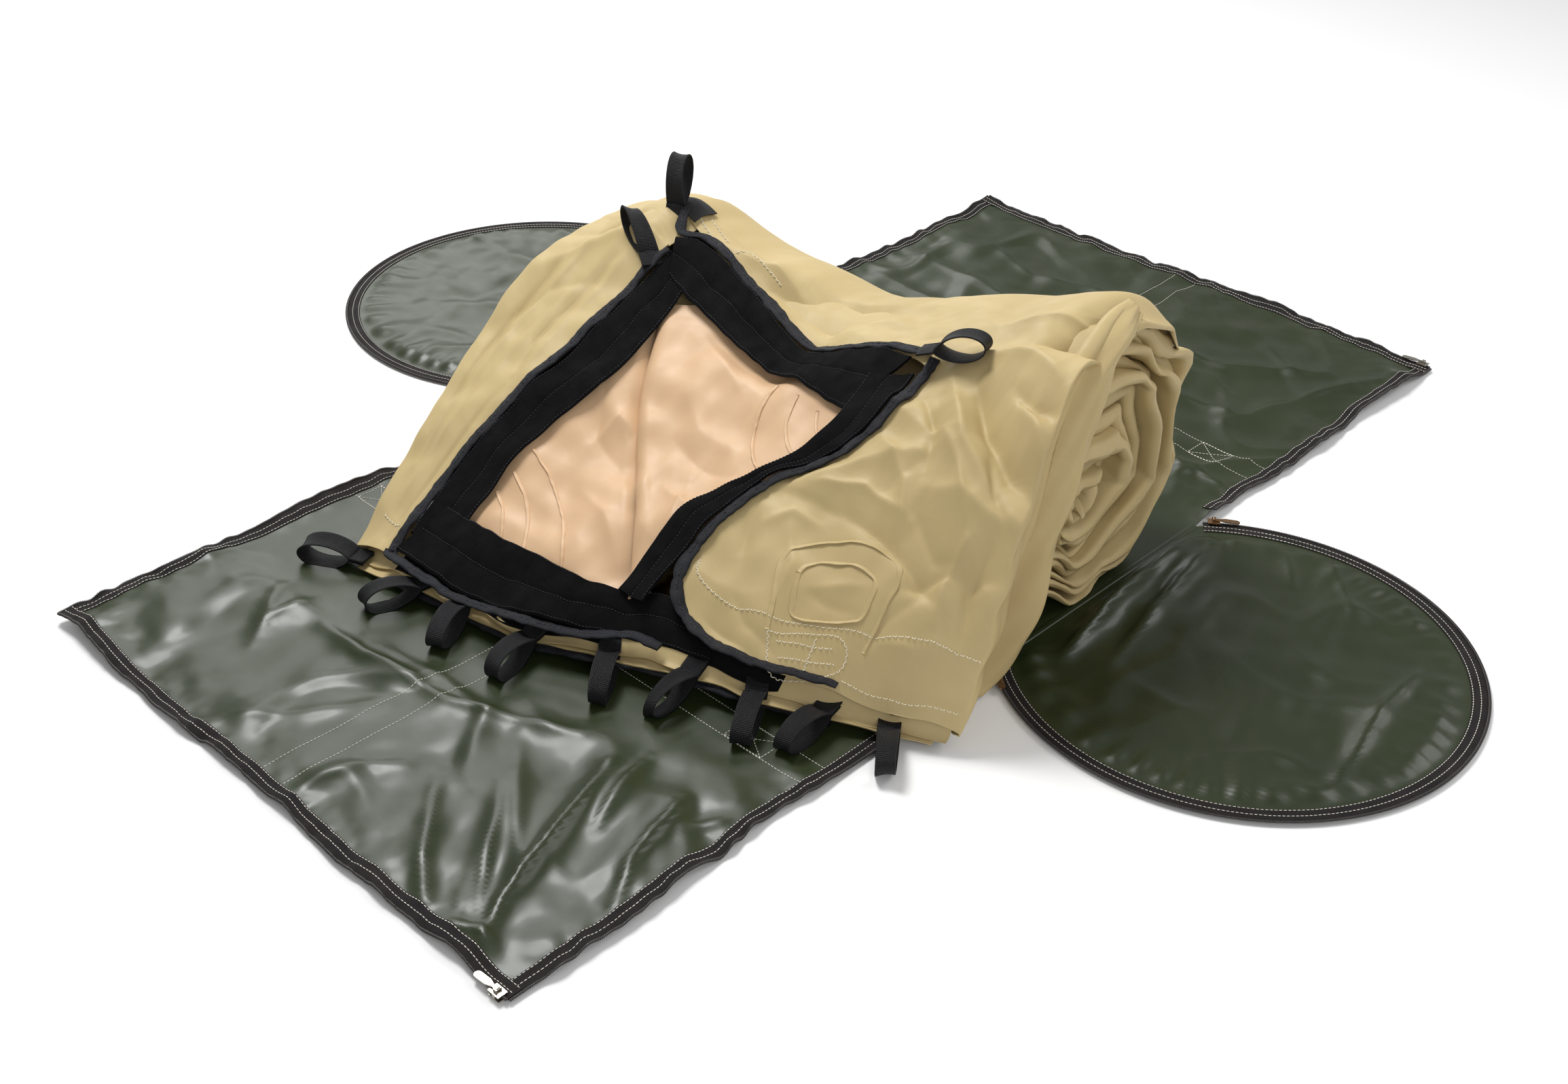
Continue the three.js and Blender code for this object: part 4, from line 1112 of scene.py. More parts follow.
# %% Lay out an apron of cloth
def round_the_end(points):
    """Draws cloth that lies over the roll's right end down onto it, with a few kinks."""
    x, y, z = points[..., 0], points[..., 1], points[..., 2]
    h = roll_height(x)
    dy, dz = y - roll_y(x), z - REST_Z - h
    angle = np.arctan2(dz, dy)
    near = ease((x - 0.325) / 0.062) * ease((y + 0.075) / 0.06)
    kinks = 0.6 * np.abs(np.sin(4.5 * angle + 14 * x)) + 0.4 * np.abs(np.sin(2.5 * angle - 9 * x))
    pull = 0.024 * near**2 + 0.012 * near * kinks
    reach = np.maximum(np.hypot(dy, dz), 1e-6)
    return np.stack([x, y - pull * dy / reach, z - pull * dz / reach], -1)


def apron(name, inner, outer, turn, ends, counts, hem=None, tucks=0.0, thickness=0.0022, sink=0.0):
    """inner and outer are plan stations in mm; turn and ends are stations of the curve beyond."""
    columns, rows, more = counts
    near, far = track(inner, columns) * MM, track(outer, columns) * MM
    share = np.linspace(0, 1, rows)[:, None, None]
    plan = near[None] + (far - near)[None] * share
    if hem is not None:
        line = np.array([np.interp(share[:, 0, 0], hem[:, 0], hem[:, k]) for k in (1, 2)]).T * MM
        weight = ease((np.linspace(0, 1, columns) - 0.74) / 0.26)[None, :, None]
        plan = plan + (line[:, None] - plan[:, -1:]) * weight
    top = draped(plan[..., 0], plan[..., 1])
    top[..., 2] -= sink * ease((plan[..., 0] + 0.215) / 0.02) * (plan[..., 1] > -0.09)
    start = top[-1]
    via, end = track(turn, columns), track(ends, columns)
    q = (np.linspace(0, 1, more + 1)[1:] ** 1.15)[:, None, None]
    beyond = (1 - q) ** 2 * start + 2 * q * (1 - q) * via + q**2 * end
    s = np.linspace(0, 1, columns)[None, :]
    out = end - start
    swing = np.stack([np.sign(far[:, 0]), -0.35 + 0 * far[:, 0]], -1)
    deep = np.clip(np.abs(out[:, 2]) / 0.12, 0, 1) * (np.abs(out[:, 1]) < 0.12)
    wave = np.abs(np.sin(34 * s + 5 * q[..., 0] + 2 * np.sin(17 * s))) - 0.5
    push = tucks * wave * np.sin(np.pi * q[..., 0]) ** 0.7 * deep[None]
    beyond[..., 0] += push * swing[:, 0]
    beyond[..., 1] += push * swing[:, 1]
    beyond[..., 2] = np.maximum(beyond[..., 2], REST_Z + 0.001)
    front = np.concatenate([top, beyond])
    index = np.arange(len(front))
    soft = np.exp(-(((index - rows) / 5.0) ** 2))[1:-1, None, None]
    for _ in range(12):
        middle = (front[:-2] + front[2:]) / 2
        front[1:-1] += 0.6 * soft * (middle - front[1:-1])
    front = round_the_end(front)
    return sheet_piece(name, front, thickness, sand_cloth), front


COVER_INNER = [
    (-202, -48), (-138, -56), (-46, -66), (48, -87), (130, -87),
    (190, -80), (222, -82), (232, -92), (234, -106),
    (234, -124), (230, -150), (212, -190), (184, -219), (160, -245),
    (144, -280), (132, -320), (128, -350), (131, -366),
]
COVER_OUTER = [
    (-206, -28), (-130, -18), (-40, -6), (60, 8), (150, 21),
    (230, 32), (305, 43), (356, 50), (384, 51),
    (396, 10), (406, -45), (422, -110), (440, -175), (452, -215),
    (458, -245), (461, -262), (462, -275), (462, -284),
]
FLAP_HEM = np.array(
    [
        (0, 131, -366), (0.03, 136, -378), (0.08, 150, -388), (0.17, 186, -393),
        (0.32, 236, -385), (0.62, 338, -345), (0.81, 400, -318), (1, 462, -284),
    ]
)
COVER_END = [rim_point(x * MM, 30, 1.01) for x, _ in COVER_OUTER[:8]] + [
    rim_point(0.380, 34, 1.01), rim_point(0.386, 70), rim_point(0.389, 106, 0.98),
    rim_point(0.391, 145, 0.96), rim_point(0.392, 182, 0.97), (0.392, -0.178, 0.090),
    (0.396, -0.205, 0.030), (0.404, -0.232, 0.010), (0.418, -0.252, 0.008), (0.434, -0.270, 0.008),
]


def over_crest(x):
    h, w = roll_height(x), roll_width(x)
    return x, roll_y(x) + w * math.tan(math.radians(30)), float(drape(x, roll_y(x))) - 0.006


def down_side(k):
    (x, y), end = COVER_OUTER[k], COVER_END[k]
    z = float(drape(x * MM, y * MM))
    return x * MM + 0.003, 0.7 * y * MM + 0.3 * end[1] - 0.004, 0.5 * z + 0.5 * end[2]


COVER_TURN = [over_crest(x * MM) for x, _ in COVER_OUTER[:8]]
COVER_TURN += [(0.394, 0.150, 0.372), (0.402, 0.075, 0.372)]
COVER_TURN += [down_side(k) for k in range(10, 18)]
cover, cover_front = apron(
    "cover_sheet", COVER_INNER, COVER_OUTER, COVER_TURN, COVER_END, (300, 110, 40), FLAP_HEM, 0.020
)
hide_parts("top_panel", "front_flap")
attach(cover, "stretcher")
print("cover", len(cover.data.vertices), "points")

# %% [markdown]
# Beside the roll's open end the cover's slack hangs down as a thick pleated band: it starts under
# the crest's corner, sweeps forward and down between the flap and the turns, and ends on the bag.

# %% The pleated band at the roll's end
BAND_PATH = [
    (0.388, 0.085, 0.350), (0.398, 0.030, 0.340), (0.408, -0.030, 0.300), (0.416, -0.082, 0.235),
    (0.420, -0.120, 0.160), (0.422, -0.150, 0.085), (0.424, -0.182, 0.030), (0.426, -0.205, 0.010),
]
BAND_HALF = [0.010, 0.024, 0.036, 0.042, 0.044, 0.042, 0.040, 0.034]
pleat_noise = ripples(47, 6, 0.9, 0.25)


def pleated_band():
    rows, columns = 150, 90
    path = track(BAND_PATH, rows)
    half = np.interp(np.linspace(0, 7, rows), range(8), BAND_HALF)[:, None]
    along = np.gradient(path, axis=0)
    across = np.cross(along, (1.0, 0, 0))
    across /= np.linalg.norm(across, axis=1, keepdims=True)
    w = np.linspace(-1, 1, columns)[None, :]
    s = np.linspace(0, 1, rows)[:, None]
    full = np.sin(np.pi * np.clip(0.08 + 0.9 * s, 0, 1)) ** 0.6
    bulge = np.sqrt(np.clip(1 - w**2, 0, 1)) * 0.030 * full
    shift = w + 0.10 * pleat_noise(s, 0.2 * w)
    pleats = (np.abs(np.sin(3.6 * shift + 2.8 * s)) - 0.5) * 0.021 * full
    pleats = pleats + 0.004 * pleat_noise(1.7 * s, 0.8 * w)
    x = path[:, :1] - 0.022 + bulge + pleats * (1 - w**2)
    points = path[:, None, :] + across[:, None, :] * (w * half)[..., None]
    points[..., 0] = x
    points[..., 2] = np.maximum(points[..., 2], REST_Z + 0.001)
    return points


pleats_front = pleated_band()
pleats = sheet_piece("pleated_slack", pleats_front, 0.0022, sand_cloth)
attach(pleats, "stretcher")
print("pleated band", len(pleats.data.vertices), "points")

# %% [markdown]
# Left of the mouth the cloth runs from the mouth's edge over the slope and down to the bag. It is
# the same apron of columns as the cover, only with other edges.

# %% The left side panel
LEFT_INNER = [
    (-205, -514), (-208, -460), (-210, -408), (-206, -350), (-200, -285), (-192, -225),
    (-186, -165), (-181, -115), (-178, -90), (-174, -76), (-172, -64), (-170, -52),
]
LEFT_OUTER = [
    (-271, -516), (-286, -470), (-304, -410), (-324, -340), (-340, -275), (-350, -205),
    (-350, -140), (-345, -85), (-334, -46), (-290, -41), (-236, -34), (-170, -25),
]
LEFT_END = [((x + 8) * MM, y * MM, 0.007) for x, y in LEFT_OUTER[:7]]
LEFT_END += [(-0.342, -0.075, 0.05), rim_point(-0.334, 62, 1.01)]
LEFT_END += [rim_point(x, 30, 1.01) for x in (-0.29, -0.236, -0.170)]
LEFT_TURN = [((x - 7) * MM, y * MM, 0.5 * float(drape(x * MM, y * MM))) for x, y in LEFT_OUTER[:8]]
LEFT_TURN += [(-0.345, -0.01, 0.275)] + [over_crest(x) for x in (-0.29, -0.236, -0.170)]
left_panel, left_front = apron(
    "left_side_cloth", LEFT_INNER, LEFT_OUTER, LEFT_TURN, LEFT_END, (190, 50, 46), None, 0.010, sink=0.003
)
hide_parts("left_side_panel")
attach(left_panel, "stretcher")
print("left panel", len(left_panel.data.vertices), "points")

# %% [markdown]
# ## The lining inside the mouth
# Inside the mouth the cloth is peach. Two flat areas meet in a long fold: the left one dives
# under the right one, whose edge is soft and round. A little sag lets the black bands stand
# proud of it.

# %% Linings
def coons(front_line, rear_line, left_line, right_line, rows, columns):
    """A plan grid between four lines in mm; rows run from front to rear."""
    f, r = smooth_curve(front_line, columns), smooth_curve(rear_line, columns)
    l, g = smooth_curve(left_line, rows), smooth_curve(right_line, rows)
    u = np.linspace(0, 1, columns)[None, :, None]
    v = np.linspace(0, 1, rows)[:, None, None]
    ruled = (1 - v) * f[None] + v * r[None] + (1 - u) * l[:, None] + u * g[:, None]
    return ruled - (1 - u) * (1 - v) * f[0] - u * (1 - v) * f[-1] - (1 - u) * v * r[0] - u * v * r[-1]


VALLEY = [(100, -412), (86, -400), (28, -339), (-25, -290), (-76, -235), (-134, -152), (-150, -128)]
lining_folds = fold_field([
    ([(34, -301), (87, -310), (119, -310)], 5, 12),
    ([(-92, -300), (-82, -262), (-52, -262)], 6, 12),
    ([(-57, -345), (-3, -357), (48, -384)], 4, 12),
    ([(57, -280), (71, -318), (88, -350)], 5, 12),
    ([(-74, -138), (-11, -158), (34, -176)], 4, 12),
    ([(-120, -250), (-90, -290), (-40, -300)], -5, 14),
    ([(-40, -200), (20, -230), (90, -230)], 4, 22),
    ([(0, -250), (50, -262), (110, -256)], -4, 16),
])
lining_swell = ripples(51, 8, 0.16, 0.05)


def lining_height(x, y):
    away, _ = from_line(x, y, [(px * MM, py * MM) for px, py in VALLEY])
    inside = ease(from_line(x, y, MOUTH_RING)[0] / 0.06)
    sag = -0.011 * inside + 0.0016 * lining_swell(x, y) * inside
    return cloth_height(x, y) - 0.0006 + sag + lining_folds(x, y) * inside, away


MOUTH_RING = [(p * MM, q * MM) for p, q in [
    (-205, -505), (-208, -380), (-196, -250), (-180, -110),
    (-138, -60), (0, -76), (130, -88), (228, -90),
    (230, -150), (163, -241), (130, -320), (112, -430), (12, -487), (-90, -506), (-205, -505),
]]
def soft_edge(x, y):
    """The right lining's edge, how full it is along its length, and how high its crest stands."""
    edge = np.interp(
        y, [-0.410, -0.336, -0.287, -0.232, -0.138], [0.092, 0.026, -0.027, -0.080, -0.140]
    )
    length_share = np.sin(np.pi * np.clip((y + 0.42) / 0.30, 0, 1)) ** 0.5
    return edge, length_share, 0.013 * np.exp(-np.maximum(x - edge, 0) / 0.04) * length_share


left_plan = coons(
    [(-166, -480), (-80, -472), (20, -450), (116, -420)],
    [(-156, -132), (-146, -128), (-134, -124), (-118, -118)],
    [(-166, -480), (-178, -380), (-168, -260), (-156, -132)],
    [(116, -420), (112, -404), (58, -331), (10, -280), (-44, -225), (-104, -140), (-118, -118)],
    120, 90,
)
x, y = left_plan[..., 0], left_plan[..., 1]
level, away = lining_height(x, y)
side_of_valley = np.interp(
    y,
    [-0.412, -0.400, -0.339, -0.290, -0.235, -0.152, -0.128],
    [0.100, 0.086, 0.028, -0.025, -0.076, -0.134, -0.150],
)
past = np.clip((x - side_of_valley + 0.020) / 0.05, 0, 1)
left_lining_front = np.stack([x, y, level - 0.030 * past**1.5], -1)
left_lining = sheet_piece("left_lining_cloth", left_lining_front, 0.0012, peach_cloth)
right_plan = coons(
    [(92, -410), (96, -410), (102, -408), (108, -404)],
    [(-140, -138), (-60, -98), (60, -110), (196, -118)],
    [(92, -410), (26, -336), (-27, -287), (-80, -232), (-140, -138)],
    [(108, -404), (114, -330), (152, -244), (200, -180), (196, -118)],
    130, 110,
)
x, y = right_plan[..., 0], right_plan[..., 1]
level, away = lining_height(x, y)
edge, length_share, crest = soft_edge(x, y)
t = np.clip((x - edge) / 0.022, 0, 1)
roll_off = -0.022 * (1 - np.sqrt(np.clip(1 - (1 - t) ** 2, 0, 1))) * length_share
right_lining_front = np.stack([x, y, level + crest + roll_off + 0.0022], -1)
right_lining = sheet_piece("right_lining_cloth", right_lining_front, 0.0012, peach_cloth)
for lining, node in ((left_lining, "left_lining"), (right_lining, "right_lining")):
    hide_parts(node)
    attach(lining, "stretcher")
print("linings laid")

# %% [markdown]
# ## Hook and loop bands
# The mouth closes with hook and loop bands sewn round its inside. Each band is two strips side by
# side with a stitched groove between them. The strips are stiff, so they bridge the small folds
# and have a square, raised edge.

# %% Bands
BAND_LINES = {
    "left": ([(-199, -486), (-204, -408), (-197, -320), (-184, -215), (-174, -122), (-168, -96)],
             [(-142, -470), (-146, -390), (-138, -310), (-118, -245), (-118, -170), (-122, -112)]),
    "top": ([(-176, -80), (-138, -62), (-46, -72), (48, -93), (130, -93), (206, -84)],
            [(-150, -116), (-112, -124), (-77, -128), (27, -140), (103, -146), (140, -150), (178, -156)]),
    "right": ([(224, -100), (227, -140), (207, -188), (158, -240), (130, -303), (122, -346), (116, -410)],
              [(174, -118), (166, -185), (134, -246), (104, -290), (88, -319), (84, -346), (80, -412)]),
    "front": ([(-200, -508), (-90, -501), (12, -482), (82, -450), (150, -418), (210, -398)],
              [(-178, -444), (-81, -442), (-14, -431), (45, -423), (110, -394), (180, -366)]),
}
BAND_PROFILE = np.array([
    (0.0, 0.2), (0.012, 2.0), (0.03, 2.5), (0.24, 2.7),
    (0.42, 2.6), (0.455, 2.0), (0.48, 1.2), (0.52, 1.2),
    (0.545, 2.0), (0.58, 2.6), (0.76, 2.7), (0.965, 2.5), (0.985, 2.0), (1.0, 0.2),
])
BAND_BASE = {"left": 0.0006, "top": 0.0036, "right": 0.0046, "front": 0.0034}
band_ripple = ripples(61, 8, 0.09, 0.025)


def band_grid(outer, inner, base, count=150):
    a, b = smooth_curve(outer, count), smooth_curve(inner, count)
    w, lift = BAND_PROFILE[:, 0], BAND_PROFILE[:, 1] * MM
    plan = a[None] + (b - a)[None] * w[:, None, None]
    away = np.minimum(w, 1 - w)[:, None]
    level, _ = lining_height(plan[..., 0], plan[..., 1])
    level = np.maximum(level, cloth_height(plan[..., 0], plan[..., 1]) - 0.0025)
    z = level + lift[:, None] + base + 0.0011 * (1 + band_ripple(plan[..., 0], plan[..., 1]))
    tucked = 0.013 * ease((plan[..., 0] - 0.05) / 0.08) * (plan[..., 1] < -0.34)
    z = z - tucked * (base == BAND_BASE["front"])
    return np.concatenate([plan, z[..., None]], -1)


band_pieces = {}
for name, (outer, inner) in BAND_LINES.items():
    grid = band_grid(outer, inner, BAND_BASE[name])
    band = sheet_piece(f"{name}_band_cloth", grid, 0.0040, loop_pile)
    groove = [0.5 * (grid[6] + grid[7]) + np.array([0, 0, 0.0004])]
    edges = [grid[2] + np.array([0, 0, 0.0003]), grid[-3] + np.array([0, 0, 0.0003])]
    rows = [walk_line(row, 0.0042) for row in groove + edges]
    here, way = np.vstack([r[0] for r in rows]), np.vstack([r[1] for r in rows])
    straight_up = np.tile((0, 0, 1.0), (len(here), 1))
    threads = grain_rows("threads", here, way, straight_up, (0.0030, 0.0008, 0.0007), dark_thread)
    band = merged(f"{name}_band_cloth", [band, threads])
    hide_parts(f"{name}_hook_loop_band")
    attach(band, "stretcher")
    band_pieces[name] = band
print("bands", list(band_pieces))

# %% [markdown]
# ## Bindings
# A woven tape is folded over each raw edge and sewn through with a zigzag. The thread pulls it
# into small puckers, so its outline swells and narrows every centimetre or so.

# %% A folded, puckered tape along a line
def tube_faces(count, n):
    """Walls between count rings of n points each, and a cap of four-sided faces at each end."""
    index = np.arange(count * n).reshape(count, n)
    a, b = index[:-1], index[1:]
    walls = np.stack([a, np.roll(a, -1, 1), np.roll(b, -1, 1), b], -1).reshape(-1, 4)
    caps = []
    for row, flip in ((index[0], True), (index[-1], False)):
        for i in range(n // 2 - 1):
            cap = [row[i], row[i + 1], row[n - 2 - i], row[n - 1 - i]]
            caps.append(cap if flip else cap[::-1])
    return np.vstack([walls, np.array(caps)])


def tape_round(name, line, width, height, finish, seed, stitch=dark_thread, zig=0.0026, pitch=0.0036):
    """line is a fine 3D line through the tape's middle."""
    run = run_along(line)
    count = int(run[-1] / 0.0022)
    even = np.linspace(0, run[-1], count)
    centre = np.stack([np.interp(even, run, line[:, k]) for k in range(3)], -1)
    along = np.gradient(centre, axis=0)
    along /= np.linalg.norm(along, axis=1, keepdims=True)
    side = np.cross((0, 0, 1.0), along)
    side /= np.linalg.norm(side, axis=1, keepdims=True)
    rise = np.cross(along, side)
    pucker = ripples(seed, 7, 0.030, 0.009)
    swing = ripples(seed + 1, 5, 0.12, 0.04)
    swell_by = 1 + 0.10 * pucker(even, 0.3) + 0.05 * swing(even, 0.1)
    turn = np.linspace(0, 2 * np.pi, 17)[:-1]
    flat_out = np.sign(np.cos(turn)) * np.abs(np.cos(turn)) ** 0.6
    flat_up = np.sign(np.sin(turn)) * np.abs(np.sin(turn)) ** 0.7
    half_out = width / 2 * swell_by
    half_up = height / 2 * (1 + 0.16 * pucker(even, 2.3))
    ring = (
        centre[:, None]
        + side[:, None] * (flat_out[None, :, None] * half_out[:, None, None])
        + rise[:, None] * (flat_up[None, :, None] * half_up[:, None, None])
    )
    n = len(turn)
    pattern = np.stack([np.repeat(even, n), np.tile(turn / 6.283 * 2.2 * width, count)], -1)
    body = new_piece(name, ring.reshape(-1, 3), tube_faces(count, n), finish, pattern)
    if stitch is None:
        return body
    zigs = int(run[-1] / pitch)
    t = (np.arange(zigs) + 0.5) / zigs * (count - 1)
    k = t.astype(int)
    sign = np.where(np.arange(zigs) % 2, 1.0, -1.0)
    here = centre[k] + rise[k] * (height / 2 * 1.02 + 0.0002)
    way = along[k] * pitch + side[k] * (sign * zig)[:, None]
    threads = grain_rows("threads", here, way, rise[k], (0.0046, 0.0008, 0.0008), stitch)
    return merged(name, [body, threads])


def mouth_line(points, lift, count=220):
    plan = smooth_curve(points, count)
    return draped(plan[:, 0], plan[:, 1], lift)


BINDINGS = {  # points along the mouth in millimetres, lift, nodes it stands for
    "left_edge_binding": (
        [(-196, -516), (-206, -500), (-211, -408), (-204, -320), (-191, -215), (-181, -122),
         (-172, -96)],
        0.0034, ["left_binding"],
    ),
    "top_edge_binding": (
        [(-196, -40), (-176, -70), (-138, -54), (-46, -64), (48, -85), (130, -85), (222, -72)],
        0.0046, ["top_binding"],
    ),
    "flap_edge_binding": (
        [(234, -78), (236, -105), (235, -140), (214, -190), (165, -241), (137, -305),
         (129, -346), (133, -370), (150, -387), (186, -393), (236, -385), (300, -358),
         (342, -341)],
        0.0042, ["right_binding", "flap_binding"],
    ),
    "front_edge_binding": (
        [(-206, -512), (-194, -516), (-90, -509), (12, -490), (82, -458), (124, -436),
         (160, -425)],
        0.0058, ["front_binding"],
    ),
}
binding_pieces = {}
for k, (name, (points, lift, nodes)) in enumerate(BINDINGS.items()):
    tape = tape_round(name, mouth_line(points, lift), 0.0135, 0.0042, binding_tape, 70 + 2 * k)
    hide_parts(*nodes)
    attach(tape, "stretcher")
    binding_pieces[name] = tape
print("bindings", list(binding_pieces))

# %% [markdown]
# ## Layers under the hem
# Under the mouth's front edge lie the stretcher's lower layers: two thin edges of sand cloth and,
# below them, the black edge of the next opening. Behind them the folded cloth fills the wedge
# between the roll, the slope and the bag.

# %% Lower layers
hem_wobble = ripples(81, 6, 0.16, 0.05)


def hem_strip(name, ahead, behind, drop, x0, x1, thickness, finish, seed):
    xs = np.linspace(x0, x1, 260)
    back = np.linspace(0, 1, 14)[:, None]
    foot = hem_y(xs) - ahead - 0.0022 * hem_wobble(xs, seed)
    y = foot[None] + (ahead + behind) * back
    x = xs[None] + 0 * y
    z = drape(x, np.maximum(y, hem_y(x))) - drop + 0.0012 * hem_wobble(x, 3 + seed)
    z = np.maximum(z, REST_Z + 0.0006 + thickness)
    return sheet_piece(name, np.stack([x, y, z], -1), thickness, finish)


for k, (ahead, drop, x0, x1) in enumerate([(0.005, 0.0130, -0.262, 0.452), (0.010, 0.0166, -0.248, 0.440)]):
    layer = hem_strip(f"lower_layer_{k + 1}", ahead, 0.05, drop, x0, x1, 0.0018, sand_cloth, k)
    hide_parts(f"under_layer_{k + 1}")
    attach(layer, "stretcher")
lower_band = hem_strip("lower_band_cloth", -0.001, 0.044, 0.0112, -0.196, 0.300, 0.0016, loop_pile, 5)
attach(lower_band, "stretcher")
xs = np.linspace(-0.205, 0.345, 240)
lower_z = np.maximum(drape(xs, hem_y(xs)) - 0.0225, REST_Z + 0.004)
lower_line = np.stack([xs, hem_y(xs) - 0.006, lower_z], -1)
lower_tape = tape_round("lower_edge_binding", lower_line, 0.015, 0.0055, binding_tape, 90)
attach(lower_tape, "stretcher")


# %% [markdown]
# Behind the hem the rest of the cloth lies folded in a wedge. Only its outline and the lines
# between its layers can be seen, so it is one body made of rings that pinch in at every fold.

# %% The folded stack
def ring_body(name, rings, finish):
    count, n = rings.shape[:2]
    run = run_along(rings[0])
    pattern = np.stack([np.tile(run, count), np.repeat(np.linspace(0, 0.5, count), n)], -1)
    return new_piece(name, rings.reshape(-1, 3), tube_faces(count, n), finish, pattern)


STACK_LAYERS = 7
xs_front = np.linspace(-0.255, 0.366, 120)
xs_rear = xs_front[::-1]
front_edge = np.stack([xs_front, hem_y(xs_front) + 0.010], -1)
rear_edge = np.stack([xs_rear, roll_y(xs_rear) - 0.96 * roll_width(xs_rear)], -1)
outline = np.vstack([front_edge, rear_edge])
centre = outline.mean(0)
top_of = np.minimum(
    drape(outline[:, 0], outline[:, 1]) - 0.013,
    np.where(np.arange(240) < 120, 1.0, REST_Z + roll_height(outline[:, 0])),
)
top_of = np.maximum(top_of, REST_Z + 0.006)
levels = np.linspace(0, 1, 57)
stack_noise = ripples(95, 7, 0.30, 0.08)
rings = []
for level in levels:
    fold = np.abs(np.sin(np.pi * (level * STACK_LAYERS + 0.25 * stack_noise(outline[:, 0], outline[:, 1]))))
    shrink = -0.010 + 0.010 * fold**0.5 - 0.02 * level
    inward = outline - centre
    inward = inward / np.linalg.norm(inward, axis=1, keepdims=True)
    flat = outline + inward * shrink[:, None]
    rings.append(np.column_stack([flat, REST_Z + 0.0003 + (top_of - REST_Z - 0.0003) * level]))
stack = ring_body("folded_cloth", np.array(rings), sand_cloth)
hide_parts("folded_stack")
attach(stack, "stretcher")
print("stack", len(stack.data.vertices), "points")

# %% [markdown]
# ## Welded patches
# A grab handle is welded on behind the flap, and only the embossed outline of its patch shows: an
# arch inside an arch. The lining has ring shaped welds in two corners. They are low round beads.

# %% Beads
def bead_line(name, points, place, finish, seed, width=0.0046, height=0.0022, closed=False):
    points = points + points[:1] if closed else points
    plan = smooth_curve(points, 150)
    line = place(plan[:, 0], plan[:, 1])
    return tape_round(name, line, width, height, finish, seed, stitch=None)


INNER_ARCH = [
    (247, -302), (249, -292), (264, -280), (290, -272), (313, -268), (329, -271), (333, -285),
    (333, -298), (325, -305), (294, -320), (267, -329), (258, -322), (247, -302),
]
OUTER_ARCH = [
    (249, -352), (238, -330), (226, -310), (222, -297), (230, -280), (256, -264), (285, -254),
    (316, -247), (341, -250), (350, -262), (350, -282), (350, -312),
]
CORNER_ARCS = {
    "left": [[(-141, -345), (-104, -353), (-68, -369), (-41, -386), (-13, -412), (2, -428)],
             [(-142, -374), (-109, -386), (-84, -403), (-61, -429), (-58, -437)],
             [(-146, -397), (-121, -410), (-100, -429), (-94, -437)]],
    "right": [[(66, -150), (68, -169), (75, -192), (91, -216), (111, -233), (130, -243)],
              [(100, -152), (105, -168), (114, -186), (132, -202), (150, -212)],
              [(134, -156), (140, -164), (149, -174), (160, -184)]],
}


def on_cover(x, y):
    return draped(x, y, 0.0002)


def on_left_lining(x, y):
    level, _ = lining_height(x, y)
    return np.stack([x, y, level + 0.0002], -1)


def on_right_lining(x, y):
    level, _ = lining_height(x, y)
    crest = soft_edge(x, y)[2]
    return np.stack([x, y, level + crest + 0.0024], -1)


handle = merged("handle_patch_beads", [
    bead_line("inner_arch", INNER_ARCH, on_cover, sand_cloth, 101, 0.006, 0.0014),
    bead_line("outer_arch", OUTER_ARCH, on_cover, sand_cloth, 103, 0.006, 0.0011),
])
left_rings = merged("left_corner_beads", [
    bead_line(f"arc_{k}", arc, on_left_lining, peach_cloth, 110 + k, 0.0042, 0.0024 + 0.0012 * (k == 0))
    for k, arc in enumerate(CORNER_ARCS["left"])
])
right_rings = merged("right_corner_beads", [
    bead_line(f"arc_{k}", arc, on_right_lining, peach_cloth, 120 + k, 0.0042, 0.0024 + 0.0012 * (k == 0))
    for k, arc in enumerate(CORNER_ARCS["right"])
])
for beads, node, slot in (
    (handle, "handle_patch", "tan_coated_fabric"),
    (left_rings, "left_corner_ring", "peach_lining"),
    (right_rings, "right_corner_ring", "peach_lining"),
):
    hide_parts(node)
    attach(beads, "stretcher")
print("beads welded")

# %% [markdown]
# ## Zigzag stitching on the cover
# The hem tape behind the flap is sewn on with a zigzag that shows as an off white row along the
# whole flap, and the handle's strap end with a close zigzag square. The peak has a short one.

# %% Zigzags
def zigzag(line, width, pitch, lift=0.0004):
    """Places and directions of the short slanting stitches along a fine 3D line."""
    here, way = walk_line(line, pitch)
    way = way / np.linalg.norm(way, axis=1, keepdims=True)
    side = np.cross((0, 0, 1.0), way)
    sign = np.where(np.arange(len(here)) % 2, 1.0, -1.0)[:, None]
    middle = here + np.array([0, 0, lift])
    return middle, way * pitch + side * width * sign


FLAP_ROWS = [
    [(140, -346), (152, -358), (196, -358), (240, -345), (263, -336), (340, -305), (400, -277),
     (458, -250)],
    [(342, -336), (400, -311), (456, -279)],
    [(250, -352), (321, -319), (336, -334), (279, -372), (250, -352)],
    [(262, -352), (322, -327)],
    [(272, -360), (330, -333)],
    [(300, -330), (304, -356)],
    [(-182, -36), (-160, -44), (-117, -50), (-94, -31), (-40, -36)],
    [(-170, -26), (-150, -32), (-126, -40)],
    [(-262, -478), (-246, -482), (-222, -484)],
]
spots = [zigzag(mouth_line(row, 0.0, 200), 0.0034, 0.0034) for row in FLAP_ROWS]
here, way = np.vstack([s[0] for s in spots]), np.vstack([s[1] for s in spots])
up = lifts_up(draped, here[:, 0], here[:, 1])
cover_threads = grain_rows("cover_zigzags", here, way, up, (0.0050, 0.0012, 0.0010), sand_thread)
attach(cover_threads, "stretcher")
print("zigzag stitches", len(here))

